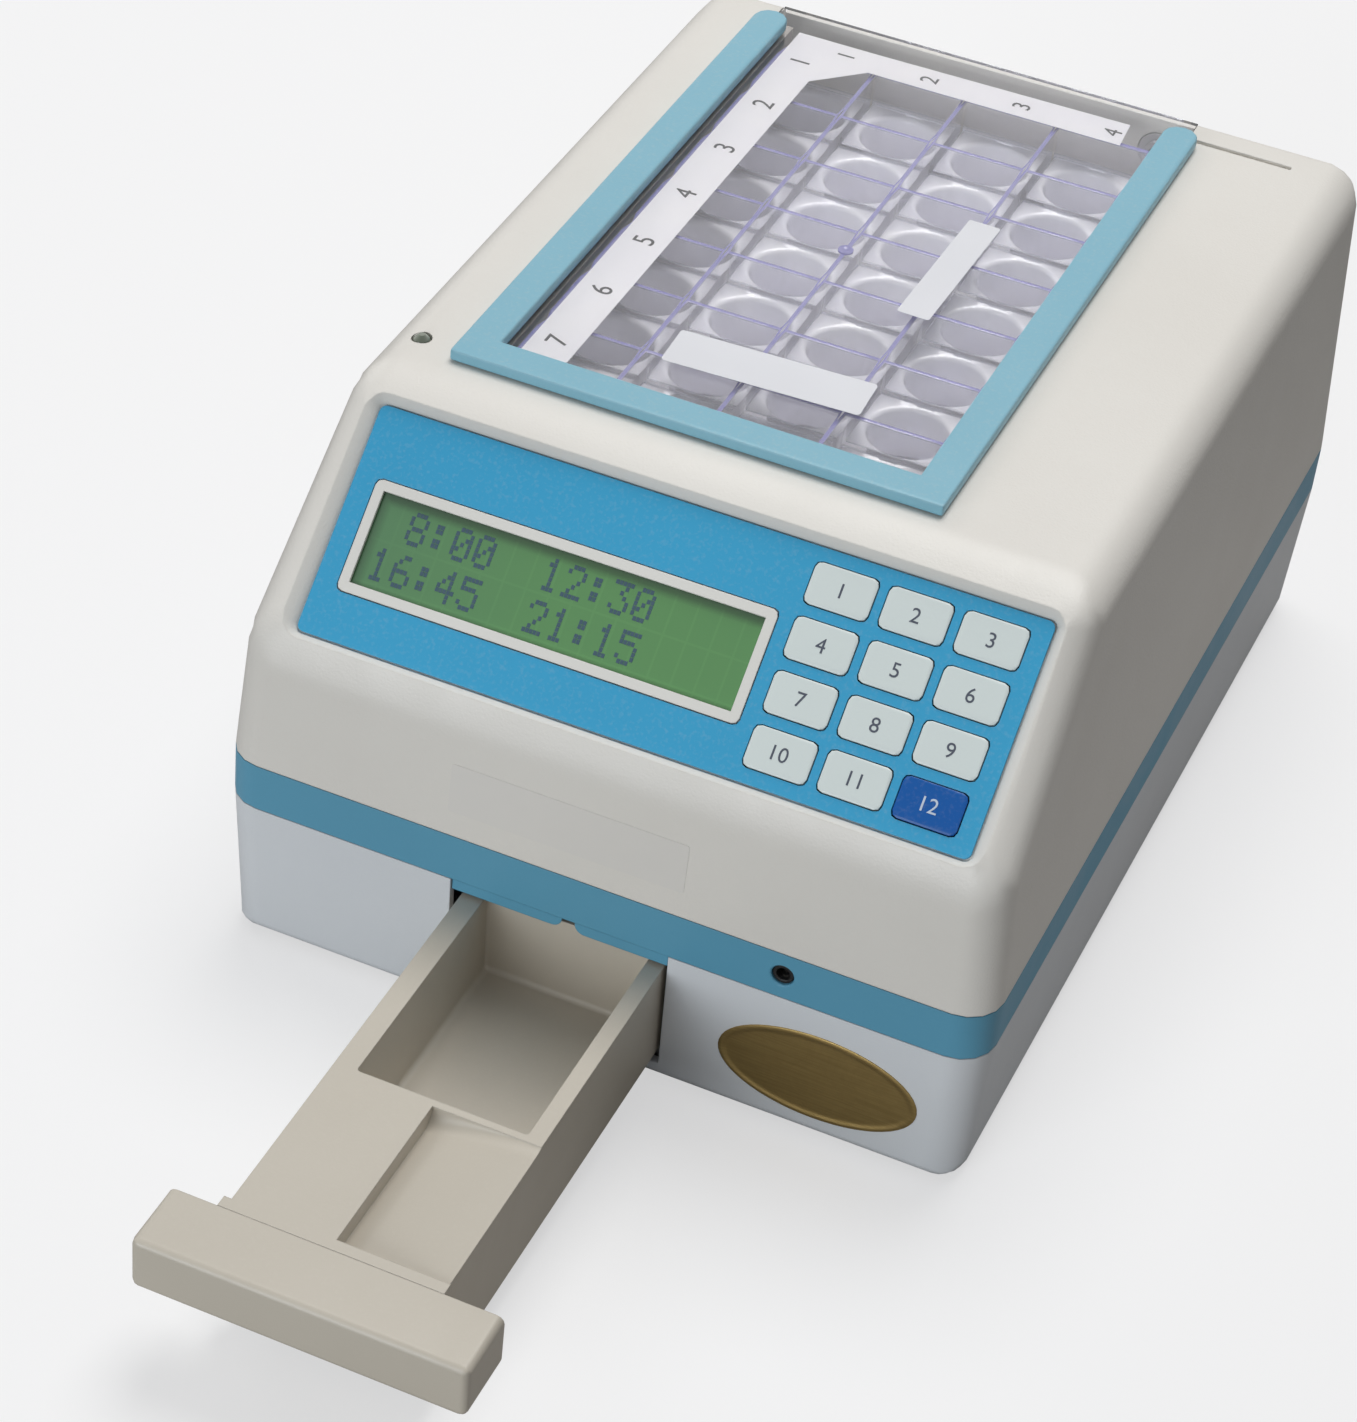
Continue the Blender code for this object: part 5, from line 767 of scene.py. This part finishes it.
# profile: (share of the size, height) from the wall over the rim to the middle
badge = {
    "x": 0.0695, "z": 0.0244, "width": 0.0586, "height": 0.0310, "steps": 56,
    "wallY": -0.07905, "wallZ": 0.0493, "slope": 0.0425, "lean": math.atan2(0.002, 0.0471),
    "profile": ((1.0, 0.0), (1.0, 0.0003), (0.985, 0.0005), (0.955, 0.0005), (0.94, 0.0002), (0.9, 0.0002)),
}


def buildBadge():
    # oval foil with a pressed rim, on the front wall of the base, which leans inwards towards the table
    y = badge["wallY"] + badge["slope"] * (badge["wallZ"] - badge["z"]) - gap
    turn = Matrix.Rotation(math.pi / 2 + badge["lean"], 4, "X")
    place = Matrix.Translation((badge["x"], y, badge["z"])) @ turn
    mesh = bmesh.new()
    rings = []
    for share, rise in badge["profile"]:
        shrink = badge["width"] * (1 - share) / 2
        ring = []
        for i in range(badge["steps"]):
            angle = 2 * math.pi * i / badge["steps"]
            ring.append(place @ Vector(((badge["width"] / 2 - shrink) * math.cos(angle),
                                        (badge["height"] / 2 - shrink) * math.sin(angle), rise)))
        rings.append(ringOf(mesh, ring))
    joinRings(mesh, rings)
    mesh.faces.new(rings[0])
    mesh.faces.new(rings[-1])
    addPiece("ovalBadge", mesh, foilMaterial(), "housing", smooth=True)


buildCard()
buildStickers()
buildBadge()
print("card, stickers and badge built")


# tray

tray = {
    "left": -0.0742, "rear": 0.20935, "columns": 4, "rows": 7, "pitchX": 0.0300, "pitchY": 0.02935,
    "rim": 0.0007, "top": 0.1580, "bottom": 0.1321, "wall": 0.0013, "draft": 0.0004, "points": 32,
    "shoulder": 0.1475, "cupRadius": 0.0134, "fillet": 0.0018, "filletTurn": 72, "filletSteps": 4,
    "outletRadius": 0.0108, "cupSteps": 6,
    # one wall from its top to the shoulder: (share of the draft, height)
    "wallProfile": ((0.0, 0.1578), (0.5, 0.1570), (1.0, 0.1484), (1.5, 0.1478)),
    "gate": (-0.0135, 0.1094), "gateRadius": 0.0023,
    "gateProfile": ((1.0, -0.0003), (1.0, 0.0003), (0.75, 0.0004), (0.45, 0.0001), (0.1, 0.0)),
}
trayX = (tray["left"], tray["left"] + 2 * tray["rim"] + tray["columns"] * tray["pitchX"])
trayY = (tray["rear"] - 2 * tray["rim"] - tray["rows"] * tray["pitchY"], tray["rear"])
turns = [(math.cos(2 * math.pi * i / tray["points"]), math.sin(2 * math.pi * i / tray["points"]))
         for i in range(tray["points"])]


def snapToRim(value, edges):
    # the cells at the border widen to the tray's outline
    for edge in edges:
        if abs(value - edge) < 0.001:
            return edge
    return value


def squareRing(mesh, centre, inset, z):
    halfX, halfY = tray["pitchX"] / 2 - inset, tray["pitchY"] / 2 - inset
    points = []
    for a, b in turns:
        reach = min(halfX / max(abs(a), 1e-9), halfY / max(abs(b), 1e-9))
        x, y = centre[0] + a * reach, centre[1] + b * reach
        if inset == 0.0:
            x, y = snapToRim(x, trayX), snapToRim(y, trayY)
        points.append((x, y, z))
    return ringOf(mesh, points)


def roundRing(mesh, centre, radius, z):
    return ringOf(mesh, [(centre[0] + a * radius, centre[1] + b * radius, z) for a, b in turns])


def cupProfile():
    # (radius, height) from the rounded lip of a cup down to its outlet
    profile = []
    for i in range(tray["filletSteps"] + 1):
        turn = math.radians(tray["filletTurn"]) * i / tray["filletSteps"]
        profile.append((tray["cupRadius"] - tray["fillet"] * math.sin(turn),
                        tray["shoulder"] - tray["fillet"] * (1 - math.cos(turn))))
    lipRadius, lipZ = profile[-1]
    for i in range(1, tray["cupSteps"] + 1):
        share = i / tray["cupSteps"]
        profile.append((lipRadius - (lipRadius - tray["outletRadius"]) * math.sin(share * math.pi / 2),
                        tray["bottom"] + (lipZ - tray["bottom"]) * (1 - share)))
    return profile


def closeSkirt(mesh, high, low):
    # the outer wall, along the sides where a cell meets the tray's outline
    for i in range(len(high)):
        j = (i + 1) % len(high)
        for axis, edges in ((0, trayX), (1, trayY)):
            for edge in edges:
                if abs(high[i].co[axis] - edge) < 1e-6 and abs(high[j].co[axis] - edge) < 1e-6:
                    mesh.faces.new((high[i], low[i], low[j], high[j]))


def buildTray():
    # one clear moulding: square cells whose floors sink as round cups to open outlets
    mesh = bmesh.new()
    cup = cupProfile()
    for row in range(tray["rows"]):
        for column in range(tray["columns"]):
            centre = (tray["left"] + tray["rim"] + (column + 0.5) * tray["pitchX"],
                      tray["rear"] - tray["rim"] - (row + 0.5) * tray["pitchY"])
            rings = [squareRing(mesh, centre, 0.0, tray["top"])]
            rings += [squareRing(mesh, centre, tray["wall"] / 2 + share * tray["draft"], z)
                      for share, z in tray["wallProfile"]]
            rings += [roundRing(mesh, centre, radius, z) for radius, z in cup]
            rings.append(squareRing(mesh, centre, 0.0, tray["bottom"]))
            joinRings(mesh, rings)
            closeSkirt(mesh, rings[0], rings[-1])
    bmesh.ops.remove_doubles(mesh, verts=mesh.verts[:], dist=0.00002)
    # the mould's gate mark, on a divider
    gate = [roundRing(mesh, tray["gate"], share * tray["gateRadius"], tray["top"] + rise)
            for share, rise in tray["gateProfile"]]
    joinRings(mesh, gate)
    mesh.faces.new(gate[0])
    mesh.faces.new(gate[-1])
    piece = addPiece("cellTray", mesh, finishes["trayClear"], "tray", smooth=True)
    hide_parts("pill_tray")


buildTray()
print("tray built")


# lamp

def lampMaterial():
    material, tree, shader = startMaterial("lampLens")
    handling = useGroup(tree, handlingGroup, {"Scale": 60.0})
    # the lens turns pale at grazing angles towards its rim: a painted reflection over its dark green inside
    facing = addNode(tree, "ShaderNodeLayerWeight", inputs={"Blend": 0.4}).outputs["Facing"]
    tint = mixColour(tree, facing, linear(66, 78, 58), linear(170, 176, 160))
    link(tree, tint, shader.inputs["Base Color"])
    smearRoughness(tree, shader, handling, 0.05, 0.14)
    setPlain(shader, coat=1.0, coatRoughness=0.04)
    return material


finishes["lampLens"] = lampMaterial()
dressNode("alarm_lamp", "lampLens")


# stage, light and camera

studio = {
    "floorSize": 14.0,
    "whiteColour": (0.93, 0.93, 0.935, 1.0),
    "glow": 0.62,  # share of the floor's white that shadows leave alone
    # what the floor bounces back: near the object, and beyond the far distance
    "sheetColour": (0.40, 0.385, 0.37, 1.0),
    "roomColour": (0.12, 0.12, 0.12, 1.0),
    "sheetNear": 0.25,
    "sheetFar": 0.65,
    "worldStrength": 0.21,
    "worldColour": (0.95, 0.97, 1.0, 1.0),
    "target": (0.0, 0.0, 0.08),  # what the lamps point at
}
lamps = {
    "keyLight": {"place": (-0.02, 0.85, 2.3), "size": 1.5, "power": 38.0, "colour": (1.0, 0.99, 0.975)},
    "fillLight": {"place": (-0.55, -2.2, 0.55), "size": 1.4, "power": 28.0, "colour": (0.93, 0.97, 1.0)},
    "rearLight": {"place": (-1.9, 1.0, 1.5), "size": 0.9, "power": 5.0, "colour": (1.0, 1.0, 1.0)},
}
# fitted to the photograph: focal length in pixels of its 1422 high frame, and where the eye stands and looks
eye = {
    "focal": 4008, "frame": 1422, "sensor": 36.0, "shift": (0.0913, 0.1158),
    "place": (0.28985, -0.84324, 0.77829), "right": (0.90454, 0.42121, 0.06623),
    "forward": (-0.27844, 0.70115, -0.65640),
}


def stageMaterial():
    # white to the camera, with a soft shadow; grey as a source of bounced light, darker further out
    material, tree, shader = startMaterial("studioFloor")
    path = addNode(tree, "ShaderNodeLightPath")
    seen = mathNode(tree, "MAXIMUM", path.outputs["Is Camera Ray"], path.outputs["Is Transmission Ray"])
    place = addNode(tree, "ShaderNodeTexCoord").outputs["Object"]
    reach = addNode(tree, "ShaderNodeVectorMath", operation="LENGTH")
    link(tree, place, reach.inputs[0])
    far = remap(tree, reach.outputs["Value"], studio["sheetNear"], studio["sheetFar"], 0.0, 1.0)
    bounce = addNode(tree, "ShaderNodeBsdfDiffuse")
    link(tree, mixColour(tree, far, studio["sheetColour"], studio["roomColour"]), bounce.inputs["Color"])
    white = studio["whiteColour"]
    glow = addNode(tree, "ShaderNodeEmission", inputs={"Color": white, "Strength": studio["glow"]})
    lit = addNode(tree, "ShaderNodeBsdfDiffuse", inputs={"Color": scaled(white, 1.0 - studio["glow"])})
    shown = addNode(tree, "ShaderNodeAddShader")
    link(tree, glow.outputs[0], shown.inputs[0])
    link(tree, lit.outputs[0], shown.inputs[1])
    mixSurface(tree, seen, bounce, shown)
    tree.nodes.remove(shader)
    return material


def buildStage():
    mesh = bmesh.new()
    side = studio["floorSize"] / 2
    corners = ((-side, -side), (side, -side), (side, side), (-side, side))
    mesh.faces.new(ringOf(mesh, [(x, y, 0.0) for x, y in corners]))
    placeMesh("studioFloor", mesh, stageMaterial())
    world = bpy.data.worlds.new("studio")
    world.use_nodes = True
    tree = world.node_tree
    backdrop = tree.nodes["Background"]
    backdrop.inputs["Color"].default_value = studio["worldColour"]
    backdrop.inputs["Strength"].default_value = studio["worldStrength"]
    path = addNode(tree, "ShaderNodeLightPath")
    shown = addNode(tree, "ShaderNodeBackground", inputs={"Color": studio["whiteColour"], "Strength": 1.0})
    mirrored = mathNode(tree, "MAXIMUM", path.outputs["Is Glossy Ray"], path.outputs["Is Transmission Ray"])
    seen = mathNode(tree, "MAXIMUM", path.outputs["Is Camera Ray"], mirrored)
    mixSurface(tree, seen, backdrop, shown)
    scene.world = world


def addLamp(name, values):
    light = bpy.data.lights.new(name, "AREA")
    light.shape = "DISK"
    light.size = values["size"]
    light.energy = values["power"]
    light.color = values["colour"]
    lamp = bpy.data.objects.new(name, light)
    lamp.location = values["place"]
    aim = Vector(studio["target"]) - Vector(values["place"])
    lamp.rotation_euler = aim.to_track_quat("-Z", "Y").to_euler()
    scene.collection.objects.link(lamp)


def addCamera():
    lens = bpy.data.cameras.new("photoCamera")
    lens.sensor_width = eye["sensor"]
    lens.lens = eye["sensor"] * eye["focal"] / eye["frame"]
    lens.shift_x, lens.shift_y = eye["shift"]
    lens.clip_start = 0.05
    camera = bpy.data.objects.new("photoCamera", lens)
    right = Vector(eye["right"]).normalized()
    forward = Vector(eye["forward"]).normalized()
    up = right.cross(forward).normalized()
    turn = Matrix((right, up, -forward)).transposed().to_4x4()
    camera.matrix_world = Matrix.Translation(eye["place"]) @ turn
    scene.collection.objects.link(camera)
    scene.camera = camera


buildStage()
for lampName, lampValues in lamps.items():
    addLamp(lampName, lampValues)
addCamera()
print("stage, lights and camera set")

bpy.context.view_layer.update()
